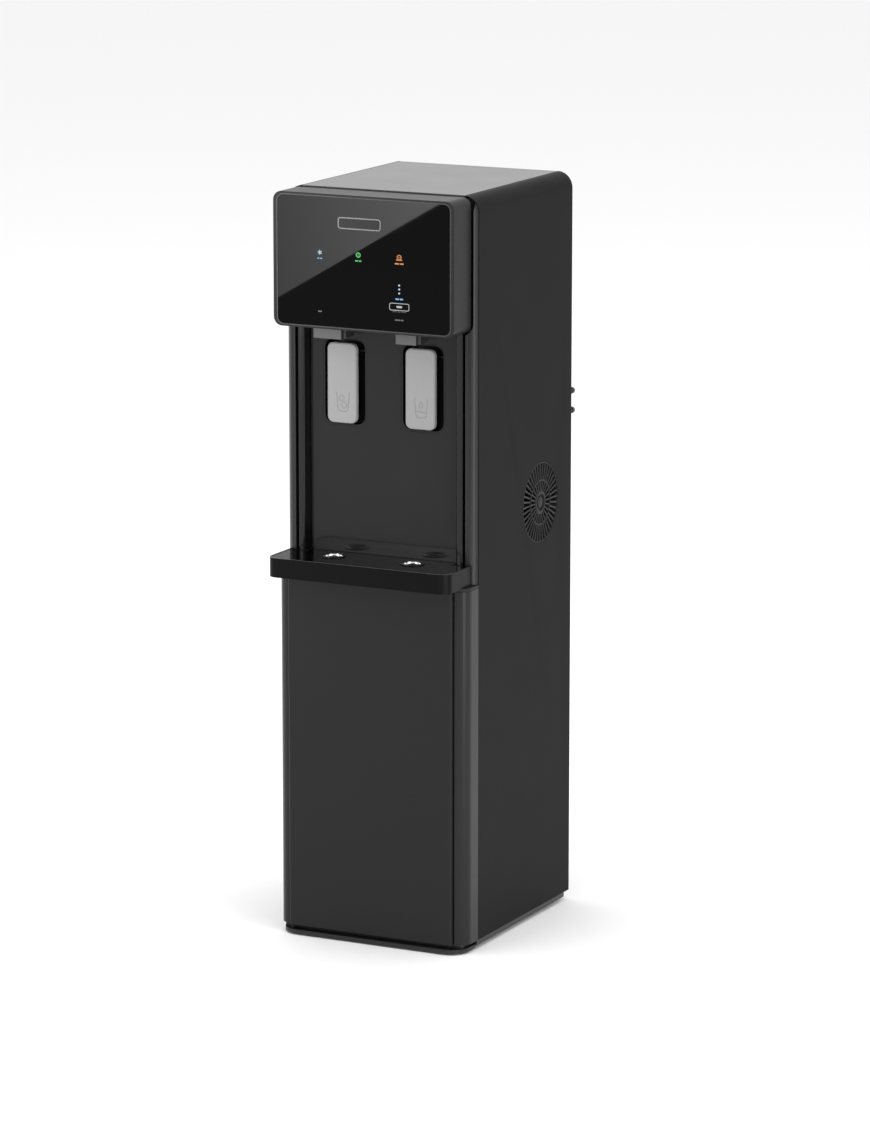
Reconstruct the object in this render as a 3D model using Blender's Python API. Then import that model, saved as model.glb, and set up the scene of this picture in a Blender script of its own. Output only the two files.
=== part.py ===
"""Bottleless tower water dispenser: cabinet, dispensing head, niche, tray, door and the working parts."""
import math

import bmesh
import bpy
from mathutils import Matrix, Vector

MM = 0.001

# Shared frame: x to the right, y to the rear, z up; drawn from the cabinet seam, then shifted.
ORIGIN_SHIFT = (0.0, -124 * MM, 2 * MM)
GAP = 0.35 * MM

# Cabinet
CAB_HALF_W = 155 * MM
CAB_REAR_Y = 314.3 * MM
CAB_TOP_Z = 1112.5 * MM
CAB_EDGE_R = 24 * MM
PANEL_T = 1.2 * MM
PANEL_BOTTOM_Z = 12 * MM
FRAME_R = 16.5 * MM
FRAME_CENTRE_Y = 5.5 * MM
FRAME_TUCK_Y = 7 * MM
FRAME_TUCK_X = 152.6 * MM
TOP_COVER_HALF_W = 131.6 * MM
TOP_COVER_FRONT_Y = 1 * MM
TOP_COVER_REAR_Y = 311.6 * MM
TOP_COVER_T = 3 * MM
REAR_PANEL_HALF_W = 154 * MM
REAR_PANEL_Y = (314.7 * MM, 316 * MM)
REAR_PANEL_Z = (14 * MM, 1065 * MM)
REAR_HEADER_Y = (312.1 * MM, 314.3 * MM)
REAR_HEADER_Z = (1000 * MM, 1109.8 * MM)
REAR_HEADER_R = 21.5 * MM
REAR_VENT_SIZE = (90 * MM, 5 * MM)
REAR_VENT_PITCH = 22 * MM
REAR_VENT_ROWS = 9
REAR_VENT_X = 62 * MM
REAR_VENT_START_Z = 250 * MM

# Base and feet
LIP_FRONT_Y = -51 * MM
LIP_HALF_W = 151 * MM
LIP_T = 5.7 * MM
LIP_CORNER_R = 30 * MM
PLINTH_T = 6 * MM
PLINTH_HALF_W = 154.4 * MM
PLINTH_REAR_Y = 298 * MM
PLINTH_INSET_HALF_W = 146 * MM
PLINTH_INSET_Y = -36 * MM
FOOT_R = 12 * MM
FOOT_X = 126 * MM
FOOT_FRONT_Y = 24 * MM
FOOT_REAR_Y = 278 * MM

# Side fan grille and fan
FAN_Y = 208.8 * MM
FAN_Z = 632 * MM
GRILLE_R = 60.5 * MM
GRILLE_X = (152 * MM, 155 * MM)
GRILLE_LEVELS = (0.0, 14 * MM, 18.5 * MM, 32 * MM, 34.5 * MM, 56 * MM, GRILLE_R)
GRILLE_SLOT_LEVELS = (2, 4)
GRILLE_SECTORS = 64
FAN_RING_R = (58 * MM, 62 * MM)
FAN_RING_X = (118 * MM, 152 * MM)
FAN_SPIDER_T = 4 * MM
FAN_SPIDER_W = 7 * MM
FAN_HUB_R = 17 * MM
FAN_HUB_X = (123 * MM, 146 * MM)
FAN_BLADE_TIP_R = 54 * MM
FAN_BLADE_COUNT = 7
FAN_BLADE_CHORD = 24 * MM
FAN_BLADE_T = 1.8 * MM
FAN_BLADE_PITCH = math.radians(38)

# Dispensing head
HEAD_HALF_W = 146 * MM
HEAD_FRONT_Y = -62 * MM
HEAD_REAR_Y = -8 * MM
HEAD_Z = (914.8 * MM, 1111 * MM)
HEAD_R = 13 * MM
HEAD_WALL = 2.6 * MM
HEAD_FACE_T = 6 * MM
HEAD_RIM_X = 149.4 * MM
HEAD_POCKET_Y = 2 * MM
GLASS_HALF_W = 140 * MM
GLASS_Z = (917.8 * MM, 1107.4 * MM)
GLASS_R = 10 * MM
GLASS_T = 3 * MM
GLASS_SET_BACK = 0.3 * MM
BADGE_X = (-40.5 * MM, 28.5 * MM)
BADGE_Z = (1062 * MM, 1079 * MM)
BADGE_T = 0.5 * MM
BOARD_HALF_W = 120 * MM
BOARD_Z = (935 * MM, 1090 * MM)
BOARD_Y = (-54.5 * MM, -52.9 * MM)
NECK_HALF_W = 105 * MM
NECK_Z = (930 * MM, 1080 * MM)
BACK_PLATE_T = 2.2 * MM

# Niche
NICHE_BOTTOM_Z = 546.6 * MM
NICHE_TOP_Z = 914 * MM
POST_INNER_X = 138.6 * MM
TRIM_X = (123.6 * MM, 134.5 * MM)
TRIM_FRONT_Y = -12 * MM
TRIM_T = 2.2 * MM
TRIM_BACK_X = 120.6 * MM
TRIM_R = 3 * MM
BACK_PANEL_HALF_W = 120.2 * MM
BACK_PANEL_Y = (3.2 * MM, 6.2 * MM)
CHASSIS_HALF_W = 151 * MM
CHASSIS_Y = (9 * MM, 11 * MM)
CHASSIS_TOP_Z = 1084 * MM
LEVER_X = 63.75 * MM
POCKET_HALF_W = 35.4 * MM
POCKET_Z = (763.2 * MM, 893 * MM)
POCKET_R = 16 * MM
POCKET_WALL = 2.4 * MM
POCKET_REAR_Y = 30 * MM
CAP_HALF_W = 23.8 * MM
CAP_SHIFT_X = -2.2 * MM
CAP_Z = (767.4 * MM, 886 * MM)
CAP_R = 9.5 * MM
CAP_Y = (-3.8 * MM, 3.4 * MM)
CAP_BEVEL = 2.2 * MM
LEVER_AXIS_Y = 14 * MM
LEVER_AXIS_Z = 874 * MM
LEVER_HUB_R = 5 * MM
LEVER_HUB_HALF_W = 18 * MM
LEVER_PIN_R = 2 * MM
LEVER_PIN_HALF_W = 34.2 * MM
LEVER_WEB_T = 4 * MM
SWITCH_HALF_W = 10 * MM
SWITCH_Z = (790 * MM, 806 * MM)
SWITCH_Y = (19.5 * MM, 27.3 * MM)
SPOUT_Z = (899 * MM, 914.4 * MM)
SPOUT_Y = (-52 * MM, -36 * MM)
SPOUT_LEFT_X = (-87 * MM, -41 * MM)
SPOUT_RIGHT_X = (46.5 * MM, 80 * MM)
SPOUT_BORE_R = 6 * MM
SPOUT_BORE_H = 9 * MM
NOZZLE_Y = (-35.6 * MM, -10 * MM)
NOZZLE_Z = (899.6 * MM, 914.4 * MM)
NOZZLE_INSET = 1 * MM

# Drip tray
TRAY_HALF_W = 148 * MM
TRAY_FRONT_Y = -88 * MM
TRAY_REAR_Y = 2.6 * MM
TRAY_TONGUE_X = 119.6 * MM
TRAY_CORNER_R = 16.5 * MM
TRAY_Z = (546.4 * MM, 575.4 * MM)
TRAY_WALL = 3 * MM
TRAY_CLEAR = 0.6 * MM
TRAY_FLOOR_T = 3 * MM
TRAY_SHOULDER_Y = -12.8 * MM
TRAY_LEDGE_Z = 571.2 * MM
TRAY_WELL_INSET = 9 * MM
TRAY_WELL_R = 6 * MM
DRAIN_X = 64.3 * MM
DRAIN_Y = -33.8 * MM
DRAIN_R = 13 * MM
DRAIN_RING_R = 18 * MM
DRAIN_RING_H = 1.2 * MM

# Lower front
SHELF_Z = (541.4 * MM, 546 * MM)
COLUMN_R = 18.5 * MM
COLUMN_FRONT_Y = -41.3 * MM
COLUMN_INNER_X = 136.6 * MM
COLUMN_T = 3 * MM
COLUMN_FLANGE_Y = -10 * MM
COLUMN_Z = (12 * MM, 541 * MM)
DOOR_HALF_W = 134.3 * MM
DOOR_Y = (-47.8 * MM, -36 * MM)
DOOR_Z = (12.4 * MM, 540.6 * MM)
DOOR_EDGE_R = 3.5 * MM
DOOR_AXIS = (-130.4 * MM, -43.8 * MM)
DOOR_PIN_R = 1.5 * MM
DOOR_BORE_R = 1.9 * MM
DOOR_PIN_LENGTH = 9 * MM
DOOR_BORE_DEPTH = 11 * MM
DOOR_PIN_TAB = (-136 * MM, -125 * MM, -46.6 * MM)
CATCH_SIZE = (8 * MM, 8 * MM, 30 * MM)
CATCH_Z = 330 * MM

# Inner works
MID_SHELF_HALF_W = 152.4 * MM
MID_SHELF_Y = (11.6 * MM, 309 * MM)
MID_SHELF_Z = (545 * MM, 548 * MM)
FILTER_PITCH = 76 * MM
FILTER_Y = 70 * MM
FILTER_R = 29 * MM
FILTER_Z = (150 * MM, 492 * MM)
FILTER_NECK_R = 14 * MM
FILTER_NECK_H = 16 * MM
MANIFOLD_HALF_W = 120 * MM
MANIFOLD_HALF_D = 26 * MM
MANIFOLD_Z = (493 * MM, 544.6 * MM)
MANIFOLD_SOCKET_R = 15 * MM
MANIFOLD_SOCKET_H = 20 * MM
COMPRESSOR_AT = (-35 * MM, 212 * MM)
COMPRESSOR_R = 68 * MM
COMPRESSOR_BORE_R = 56 * MM
COMPRESSOR_ROOF = (34 * MM, 66 * MM)
COMPRESSOR_Z = (12 * MM, 178 * MM)
COIL_HALF_W = 118 * MM
COIL_Y = 300 * MM
COIL_Z0 = 112 * MM
COIL_PITCH = 42 * MM
COIL_ROWS = 10
COIL_R = 3 * MM
COLD_TANK_AT = (-66 * MM, 122 * MM)
COLD_TANK_R = 72 * MM
COLD_TANK_WALL = 26 * MM
COLD_TANK_Z = (548.4 * MM, 790 * MM)
HOT_TANK_AT = (62 * MM, 86 * MM)
HOT_TANK_R = 46 * MM
HOT_TANK_WALL = 3 * MM
HOT_TANK_Z = (548.4 * MM, 745 * MM)
POWER_CASE_X = (-152 * MM, -118 * MM)
POWER_CASE_Y = (160 * MM, 290 * MM)
POWER_CASE_Z = (860 * MM, 1010 * MM)

# Rear fittings
FITTING_X = 146.5 * MM
FITTING_Z = (751 * MM, 780.8 * MM)
FITTING_R = 4.9 * MM
FITTING_REAR_Y = 336 * MM
INLET_AT = (95 * MM, 70 * MM)
INLET_SIZE = (30 * MM, 24 * MM)
INLET_WALL = 3 * MM
ROCKER_X = (-98 * MM, -76 * MM)
ROCKER_Z = 1030 * MM
ROCKER_HALF = (7 * MM, 10.5 * MM)
ROCKER_FRAME_HALF = (10 * MM, 14 * MM)
PLUG_AT = (-95 * MM, 60 * MM)
PLUG_R = 9 * MM

STEEL = (0.075, 0.078, 0.082, 1.0)
BLACK = (0.012, 0.012, 0.013, 1.0)
GREY = (0.55, 0.55, 0.56, 1.0)
WHITE = (0.78, 0.79, 0.80, 1.0)
CHROME = (0.72, 0.73, 0.74, 1.0)
GREEN = (0.03, 0.16, 0.07, 1.0)


def clear_scene():
    for obj in list(bpy.data.objects):
        bpy.data.objects.remove(obj, do_unlink=True)


def material(name, colour, roughness, metallic=0.0):
    mat = bpy.data.materials.new(name + "_finish")
    mat.use_nodes = True
    shader = mat.node_tree.nodes["Principled BSDF"]
    shader.inputs["Base Color"].default_value = colour
    shader.inputs["Roughness"].default_value = roughness
    shader.inputs["Metallic"].default_value = metallic
    return mat


def add_object(name, bm, finish):
    bmesh.ops.remove_doubles(bm, verts=bm.verts, dist=1e-6)
    bmesh.ops.recalc_face_normals(bm, faces=bm.faces)
    mesh = bpy.data.meshes.new(name)
    bm.to_mesh(mesh)
    bm.free()
    obj = bpy.data.objects.new(name, mesh)
    bpy.context.scene.collection.objects.link(obj)
    if finish is not None:
        mesh.materials.append(material(name, *finish))
    return obj


def to_xyz(a, b, c, axis):
    if axis == "X":
        return (c, a, b)
    if axis == "Y":
        return (a, c, b)
    return (a, b, c)


def prism(name, outline, low, high, axis, finish):
    """Solid with a flat outline, run from low to high along one axis."""
    bm = bmesh.new()
    bottom = [bm.verts.new(to_xyz(a, b, low, axis)) for a, b in outline]
    top = [bm.verts.new(to_xyz(a, b, high, axis)) for a, b in outline]
    bm.faces.new(bottom)
    bm.faces.new(top)
    for i in range(len(outline)):
        j = (i + 1) % len(outline)
        bm.faces.new((bottom[i], bottom[j], top[j], top[i]))
    return add_object(name, bm, finish)


def box_outline(a0, a1, b0, b1):
    return [(a0, b0), (a1, b0), (a1, b1), (a0, b1)]


def arc(centre_a, centre_b, radius, start, stop, steps):
    """Points on an arc, angles in degrees, both ends kept."""
    points = []
    for i in range(steps + 1):
        angle = math.radians(start + (stop - start) * i / steps)
        points.append((centre_a + radius * math.cos(angle), centre_b + radius * math.sin(angle)))
    return points


def rounded_rect(a0, a1, b0, b1, radius, steps=5):
    points = arc(a1 - radius, b0 + radius, radius, -90, 0, steps)
    points += arc(a1 - radius, b1 - radius, radius, 0, 90, steps)
    points += arc(a0 + radius, b1 - radius, radius, 90, 180, steps)
    points += arc(a0 + radius, b0 + radius, radius, 180, 270, steps)
    return points


def lathe(name, profile, centre, axis, steps, finish):
    """Turned solid: profile of (radius, height) from one end of the axis to the other."""
    bm = bmesh.new()
    rings = []
    for radius, height in profile:
        if radius < 1e-7:
            rings.append([bm.verts.new(to_xyz(centre[0], centre[1], height, axis))])
            continue
        ring = arc(centre[0], centre[1], radius, 0, 360 - 360 / steps, steps - 1)
        rings.append([bm.verts.new(to_xyz(a, b, height, axis)) for a, b in ring])
    for k in range(len(rings) - 1):
        low, high = rings[k], rings[k + 1]
        for i in range(steps):
            j = (i + 1) % steps
            corners = [low[i % len(low)], low[j % len(low)], high[j % len(high)], high[i % len(high)]]
            face = list(dict.fromkeys(corners))
            bm.faces.new(face)
    return add_object(name, bm, finish)


def turned_ring(name, profile, centre, axis, steps, finish):
    """Turned ring: closed profile of (radius, height) that never reaches the axis."""
    bm = bmesh.new()
    rings = []
    for radius, height in profile:
        ring = arc(centre[0], centre[1], radius, 0, 360 - 360 / steps, steps - 1)
        rings.append([bm.verts.new(to_xyz(a, b, height, axis)) for a, b in ring])
    for k, low in enumerate(rings):
        high = rings[(k + 1) % len(rings)]
        for i in range(steps):
            j = (i + 1) % steps
            bm.faces.new((low[i], low[j], high[j], high[i]))
    return add_object(name, bm, finish)


def swept_pipe(name, path, radius, steps, finish):
    """Round bar along a path that lies in one plane of constant y."""
    bm = bmesh.new()
    rings = []
    side = Vector((0, 1, 0))
    for k, point in enumerate(path):
        before = Vector(path[max(k - 1, 0)])
        after = Vector(path[min(k + 1, len(path) - 1)])
        along = (after - before).normalized()
        across = along.cross(side).normalized()
        ring = []
        for i in range(steps):
            angle = 2 * math.pi * i / steps
            offset = across * math.cos(angle) + side * math.sin(angle)
            ring.append(bm.verts.new(Vector(point) + offset * radius))
        rings.append(ring)
    for k in range(len(rings) - 1):
        for i in range(steps):
            j = (i + 1) % steps
            bm.faces.new((rings[k][i], rings[k][j], rings[k + 1][j], rings[k + 1][i]))
    bm.faces.new(rings[0])
    bm.faces.new(rings[-1])
    return add_object(name, bm, finish)


def boolean(target, tool, operation):
    modifier = target.modifiers.new(operation.title(), "BOOLEAN")
    modifier.operation = operation
    modifier.solver = "EXACT"
    modifier.object = tool
    bpy.context.view_layer.update()
    evaluated = target.evaluated_get(bpy.context.evaluated_depsgraph_get())
    mesh = bpy.data.meshes.new_from_object(evaluated)
    mesh.name = target.name
    old = target.data
    target.modifiers.clear()
    target.data = mesh
    bpy.data.meshes.remove(old)
    bpy.data.objects.remove(tool, do_unlink=True)
    return target


def cut(target, tool):
    return boolean(target, tool, "DIFFERENCE")


def fuse(target, tool):
    return boolean(target, tool, "UNION")


def cylinder_tool(centre, radius, low, high, axis, steps=24):
    outline = arc(centre[0], centre[1], radius, 0, 360 - 360 / steps, steps - 1)
    return prism("tool", outline, low, high, axis, None)


def box_tool(x, y, z):
    return prism("tool", box_outline(x[0], x[1], y[0], y[1]), z[0], z[1], "Z", None)


def set_origin(obj, point):
    obj.data.transform(Matrix.Translation(-Vector(point)))
    obj.location = point


def smooth(obj, angle=35):
    obj.data.shade_smooth()
    obj.data.set_sharp_from_angle(angle=math.radians(angle))
    return obj


def mirrored(outline):
    return [(-a, b) for a, b in reversed(outline)]


# ------------------------------------------------------------------ base
def build_base_plinth():
    corner = arc(LIP_HALF_W - LIP_CORNER_R, LIP_FRONT_Y + LIP_CORNER_R, LIP_CORNER_R, -90, 0, 8)
    right = corner + [(LIP_HALF_W, 0.0)]
    left = [(-a, b) for a, b in reversed(right)]
    obj = prism("base_plinth", right + left, 0.0, LIP_T, "Z", (BLACK, 0.45))
    top = LIP_T + PLINTH_T
    inset = box_outline(-PLINTH_INSET_HALF_W, PLINTH_INSET_HALF_W, PLINTH_INSET_Y, 5 * MM)
    fuse(obj, prism("tool", inset, LIP_T - 2 * MM, top, "Z", None))
    plate = box_outline(-PLINTH_HALF_W, PLINTH_HALF_W, -2 * MM, PLINTH_REAR_Y)
    fuse(obj, prism("tool", plate, LIP_T - 1 * MM, top, "Z", None))
    pin_top = DOOR_Z[0] + DOOR_PIN_LENGTH
    fuse(obj, cylinder_tool(DOOR_AXIS, DOOR_PIN_R, LIP_T - 2 * MM, pin_top, "Z", 12))
    return obj


def build_foot(name, x, y):
    top = LIP_T - 1 * MM - GAP
    bottom = -ORIGIN_SHIFT[2]
    edge = 1.5 * MM
    profile = [(0, bottom), (FOOT_R - edge, bottom), (FOOT_R, bottom + edge), (FOOT_R, top), (0, top)]
    return smooth(lathe(name, profile, (x, y), "Z", 20, (BLACK, 0.8)))


# ------------------------------------------------------------------ cabinet
def side_panel_outline():
    r = CAB_EDGE_R
    outer = [(CAB_HALF_W, PANEL_BOTTOM_Z)]
    outer += arc(CAB_HALF_W - r, CAB_TOP_Z - r, r, 0, 90, 9)
    outer.append((TOP_COVER_HALF_W + GAP, CAB_TOP_Z))
    inner = [(CAB_HALF_W - PANEL_T, PANEL_BOTTOM_Z)]
    inner += arc(CAB_HALF_W - r, CAB_TOP_Z - r, r - PANEL_T, 0, 90, 9)
    inner.append((TOP_COVER_HALF_W + GAP, CAB_TOP_Z - PANEL_T))
    del outer[-2]
    del inner[-2]
    return outer + inner[::-1]


def build_side_panel(name, sign):
    outline = side_panel_outline()
    if sign < 0:
        outline = mirrored(outline)
    obj = prism(name, outline, 0.0, CAB_REAR_Y, "Y", (STEEL, 0.42))
    if sign > 0:
        reach = (CAB_HALF_W - 10 * MM, CAB_HALF_W + 10 * MM)
        cut(obj, cylinder_tool((FAN_Y, FAN_Z), GRILLE_R + GAP, *reach, "X", 48))
    return smooth(obj, 30)


def build_fan_grille():
    """Round grille: rings of radial slots between a hub, a middle ring and the rim."""
    bm = bmesh.new()
    count = GRILLE_SECTORS
    faces = [{}, {}]

    def corner(side, level, i):
        key = (level, i % count) if level else (0, 0)
        if key not in faces[side]:
            angle = 2 * math.pi * (i % count) / count
            radius = GRILLE_LEVELS[level]
            y = FAN_Y + radius * math.cos(angle)
            z = FAN_Z + radius * math.sin(angle)
            faces[side][key] = bm.verts.new((GRILLE_X[side], y, z))
        return faces[side][key]

    def is_slot(level, i):
        return level in GRILLE_SLOT_LEVELS and (i % count) % 2 == 0

    top_level = len(GRILLE_LEVELS) - 1
    for level in range(top_level):
        for i in range(count):
            if is_slot(level, i):
                for a, b in (((level, i), (level + 1, i)), ((level, i + 1), (level + 1, i + 1)),
                             ((level, i), (level, i + 1)), ((level + 1, i), (level + 1, i + 1))):
                    bm.faces.new((corner(0, *a), corner(0, *b), corner(1, *b), corner(1, *a)))
                continue
            for side in (0, 1):
                ring = [corner(side, level, i), corner(side, level + 1, i),
                        corner(side, level + 1, i + 1), corner(side, level, i + 1)]
                bm.faces.new(list(dict.fromkeys(ring)))
    for i in range(count):
        bm.faces.new((corner(0, top_level, i), corner(0, top_level, i + 1),
                      corner(1, top_level, i + 1), corner(1, top_level, i)))
    return add_object("fan_grille", bm, (STEEL, 0.5))


def rocker_opening():
    fw, fh = ROCKER_FRAME_HALF
    x0, x1 = ROCKER_X[0] - fw - GAP, ROCKER_X[-1] + fw + GAP
    return box_outline(x0, x1, ROCKER_Z - fh - GAP, ROCKER_Z + fh + GAP)


def build_rear_panel():
    outline = box_outline(-REAR_PANEL_HALF_W, REAR_PANEL_HALF_W, *REAR_PANEL_Z)
    obj = prism("rear_panel", outline, *REAR_PANEL_Y, "Y", (STEEL, 0.5))
    reach = (REAR_PANEL_Y[0] - 5 * MM, REAR_PANEL_Y[1] + 5 * MM)
    width, height = REAR_VENT_SIZE
    for row in range(REAR_VENT_ROWS):
        z = REAR_VENT_START_Z + row * REAR_VENT_PITCH
        for x in (-REAR_VENT_X, REAR_VENT_X):
            slot = box_outline(x - width / 2, x + width / 2, z - height / 2, z + height / 2)
            cut(obj, prism("tool", slot, *reach, "Y", None))
    for z in FITTING_Z:
        cut(obj, cylinder_tool((FITTING_X, z), FITTING_R + GAP, *reach, "Y", 16))
    cut(obj, cylinder_tool(PLUG_AT, PLUG_R + GAP, *reach, "Y", 24))
    x, z = INLET_AT
    w, h = INLET_SIZE
    inlet = box_outline(x - w / 2 - GAP, x + w / 2 + GAP, z - h / 2 - GAP, z + h / 2 + GAP)
    cut(obj, prism("tool", inlet, *reach, "Y", None))
    return cut(obj, prism("tool", rocker_opening(), *reach, "Y", None))


def build_rear_header():
    half = CAB_HALF_W - PANEL_T - GAP
    low, high = REAR_HEADER_Z
    r = REAR_HEADER_R
    outline = [(-half, low), (half, low)]
    outline += arc(half - r, high - r, r, 0, 90, 6)
    outline += arc(-half + r, high - r, r, 90, 180, 6)
    obj = prism("rear_header", outline, *REAR_HEADER_Y, "Y", (STEEL, 0.5))
    reach = (REAR_HEADER_Y[0] - 5 * MM, REAR_HEADER_Y[1] + 5 * MM)
    return cut(obj, prism("tool", rocker_opening(), *reach, "Y", None))


def build_top_cover():
    x = TOP_COVER_HALF_W
    outline = box_outline(-x, x, TOP_COVER_FRONT_Y, TOP_COVER_REAR_Y)
    return prism("top_cover", outline, CAB_TOP_Z - TOP_COVER_T, CAB_TOP_Z, "Z", (STEEL, 0.4))


def build_front_frame():
    """Front ring of the cabinet: rounded posts beside the niche and a thin rim round the head."""
    bm = bmesh.new()
    tuck = CAB_HALF_W - FRAME_TUCK_X
    seam_angle = math.degrees(math.asin((FRAME_CENTRE_Y + GAP) / FRAME_R))
    profile = [(tuck, FRAME_TUCK_Y), (tuck, 0.0)]
    for angle in (seam_angle, 30, 40, 50, 60, 70, 80, 90):
        x_inset = FRAME_R - FRAME_R * math.cos(math.radians(angle))
        profile.append((x_inset, FRAME_CENTRE_Y - FRAME_R * math.sin(math.radians(angle))))
    rings = []
    for inset, y in profile:
        r = max(CAB_EDGE_R - inset, 4 * MM)
        half = CAB_HALF_W - inset
        top = CAB_TOP_Z - inset
        outline = [(-half, NICHE_BOTTOM_Z), (half, NICHE_BOTTOM_Z)]
        outline += arc(half - r, top - r, r, 0, 90, 8)
        outline += arc(-half + r, top - r, r, 90, 180, 8)
        rings.append([bm.verts.new((a, y, b)) for a, b in outline])
    for low, high in zip(rings, rings[1:]):
        for i in range(len(low)):
            j = (i + 1) % len(low)
            bm.faces.new((low[i], low[j], high[j], high[i]))
    bm.faces.new(rings[0])
    bm.faces.new(rings[-1])
    obj = add_object("front_frame", bm, (BLACK, 0.35))
    front = FRAME_CENTRE_Y - FRAME_R - 10 * MM
    rear = FRAME_TUCK_Y + 10 * MM
    niche = box_outline(-POST_INNER_X, POST_INNER_X, NICHE_BOTTOM_Z - 10 * MM, NICHE_TOP_Z + 1 * MM)
    cut(obj, prism("tool", niche, front, rear, "Y", None))
    gap = HEAD_RIM_X - HEAD_HALF_W
    rim = rounded_rect(-HEAD_RIM_X, HEAD_RIM_X, HEAD_Z[0] - gap, CAB_TOP_Z + 30 * MM, HEAD_R + gap, 6)
    cut(obj, prism("tool", rim, front, HEAD_POCKET_Y, "Y", None))
    window = box_outline(-NECK_HALF_W - 3 * MM, NECK_HALF_W + 3 * MM, NECK_Z[0] - 3 * MM, NECK_Z[1] + 3 * MM)
    cut(obj, prism("tool", window, front, rear, "Y", None))
    cover_low = CAB_TOP_Z - TOP_COVER_T - 1 * MM
    notch = (TOP_COVER_FRONT_Y - 0.5 * MM, rear)
    cut(obj, box_tool((-HEAD_RIM_X, HEAD_RIM_X), notch, (cover_low, CAB_TOP_Z + 30 * MM)))
    return smooth(obj, 30)


def build_chassis_front():
    outline = box_outline(-CHASSIS_HALF_W, CHASSIS_HALF_W, MID_SHELF_Z[1] + GAP, CHASSIS_TOP_Z)
    obj = prism("chassis_front", outline, *CHASSIS_Y, "Y", (BLACK, 0.7))
    reach = (CHASSIS_Y[0] - 5 * MM, CHASSIS_Y[1] + 5 * MM)
    half = POCKET_HALF_W + GAP
    for x in (-LEVER_X, LEVER_X):
        hole = rounded_rect(x - half, x + half, POCKET_Z[0] - GAP, POCKET_Z[1] + GAP, POCKET_R + GAP)
        cut(obj, prism("tool", hole, *reach, "Y", None))
    return obj


# ------------------------------------------------------------------ niche
def build_niche_trim(name, sign):
    inner, outer = TRIM_X
    front = TRIM_FRONT_Y
    rear = BACK_PANEL_Y[1]
    outline = arc(outer - TRIM_R, front + TRIM_R, TRIM_R, -90, 0, 4)
    outline += [(outer, rear), (outer - TRIM_T, rear), (outer - TRIM_T, front + TRIM_T + TRIM_R)]
    outline += [(inner + TRIM_T, front + TRIM_T + TRIM_R), (TRIM_BACK_X + TRIM_T, rear), (TRIM_BACK_X, rear)]
    outline += arc(inner + TRIM_R, front + TRIM_R, TRIM_R, 180, 270, 4)
    if sign < 0:
        outline = mirrored(outline)
    top = HEAD_Z[0] - 1 * MM
    return smooth(prism(name, outline, NICHE_BOTTOM_Z, top, "Z", (BLACK, 0.3)), 40)


def build_niche_back_panel():
    half = BACK_PANEL_HALF_W
    outline = box_outline(-half, half, NICHE_BOTTOM_Z, HEAD_Z[0] - 1 * MM)
    obj = prism("niche_back_panel", outline, *BACK_PANEL_Y, "Y", (STEEL, 0.12))
    reach = (BACK_PANEL_Y[0] - 5 * MM, BACK_PANEL_Y[1] + 5 * MM)
    half = POCKET_HALF_W + GAP
    for x in (-LEVER_X, LEVER_X):
        hole = rounded_rect(x - half, x + half, POCKET_Z[0] - GAP, POCKET_Z[1] + GAP, POCKET_R + GAP)
        cut(obj, prism("tool", hole, *reach, "Y", None))
    return obj


def build_lever_pocket(name, x):
    half = POCKET_HALF_W
    low, high = POCKET_Z
    outline = rounded_rect(x - half, x + half, low, high, POCKET_R)
    obj = prism(name, outline, BACK_PANEL_Y[0], POCKET_REAR_Y, "Y", (BLACK, 0.6))
    wall = POCKET_WALL
    inside = rounded_rect(x - half + wall, x + half - wall, low + wall, high - wall, POCKET_R - wall)
    cut(obj, prism("tool", inside, BACK_PANEL_Y[0] - 5 * MM, POCKET_REAR_Y - wall, "Y", None))
    reach = (x - half - 5 * MM, x + half + 5 * MM)
    axis_at = (LEVER_AXIS_Y, LEVER_AXIS_Z)
    return cut(obj, cylinder_tool(axis_at, LEVER_PIN_R + GAP, *reach, "X", 12))


def build_lever(name, x):
    """Push paddle: bevelled cap in front, web and hub behind, pins into the pocket walls."""
    bm = bmesh.new()
    low, high = CAP_Z
    centre = x + CAP_SHIFT_X
    rings = []
    front, rear = CAP_Y
    nose = CAP_BEVEL * 0.3
    steps = ((CAP_BEVEL, front), (nose, front + nose), (0.0, front + CAP_BEVEL), (0.0, rear))
    for inset, y in steps:
        half = CAP_HALF_W - inset
        outline = rounded_rect(centre - half, centre + half, low + inset, high - inset, CAP_R - inset)
        rings.append([bm.verts.new((a, y, b)) for a, b in outline])
    for near, far in zip(rings, rings[1:]):
        for i in range(len(near)):
            j = (i + 1) % len(near)
            bm.faces.new((near[i], near[j], far[j], far[i]))
    bm.faces.new(rings[0])
    bm.faces.new(rings[-1])
    obj = add_object(name, bm, (GREY, 0.4))
    web = box_tool((x - LEVER_HUB_HALF_W, x + LEVER_HUB_HALF_W), (CAP_Y[1] - 1 * MM, LEVER_AXIS_Y),
                   (LEVER_AXIS_Z - LEVER_WEB_T / 2, LEVER_AXIS_Z + LEVER_WEB_T / 2))
    fuse(obj, web)
    axis_at = (LEVER_AXIS_Y, LEVER_AXIS_Z)
    for radius, half, steps in ((LEVER_HUB_R, LEVER_HUB_HALF_W, 16), (LEVER_PIN_R, LEVER_PIN_HALF_W, 12)):
        fuse(obj, cylinder_tool(axis_at, radius, x - half, x + half, "X", steps))
    set_origin(obj, (x, LEVER_AXIS_Y, LEVER_AXIS_Z))
    return smooth(obj, 35)


def build_lever_switch(name, x):
    obj = box_tool((x - SWITCH_HALF_W, x + SWITCH_HALF_W), SWITCH_Y, SWITCH_Z)
    obj.name = name
    obj.data.name = name
    obj.data.materials.append(material(name, BLACK, 0.5))
    return obj


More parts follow.
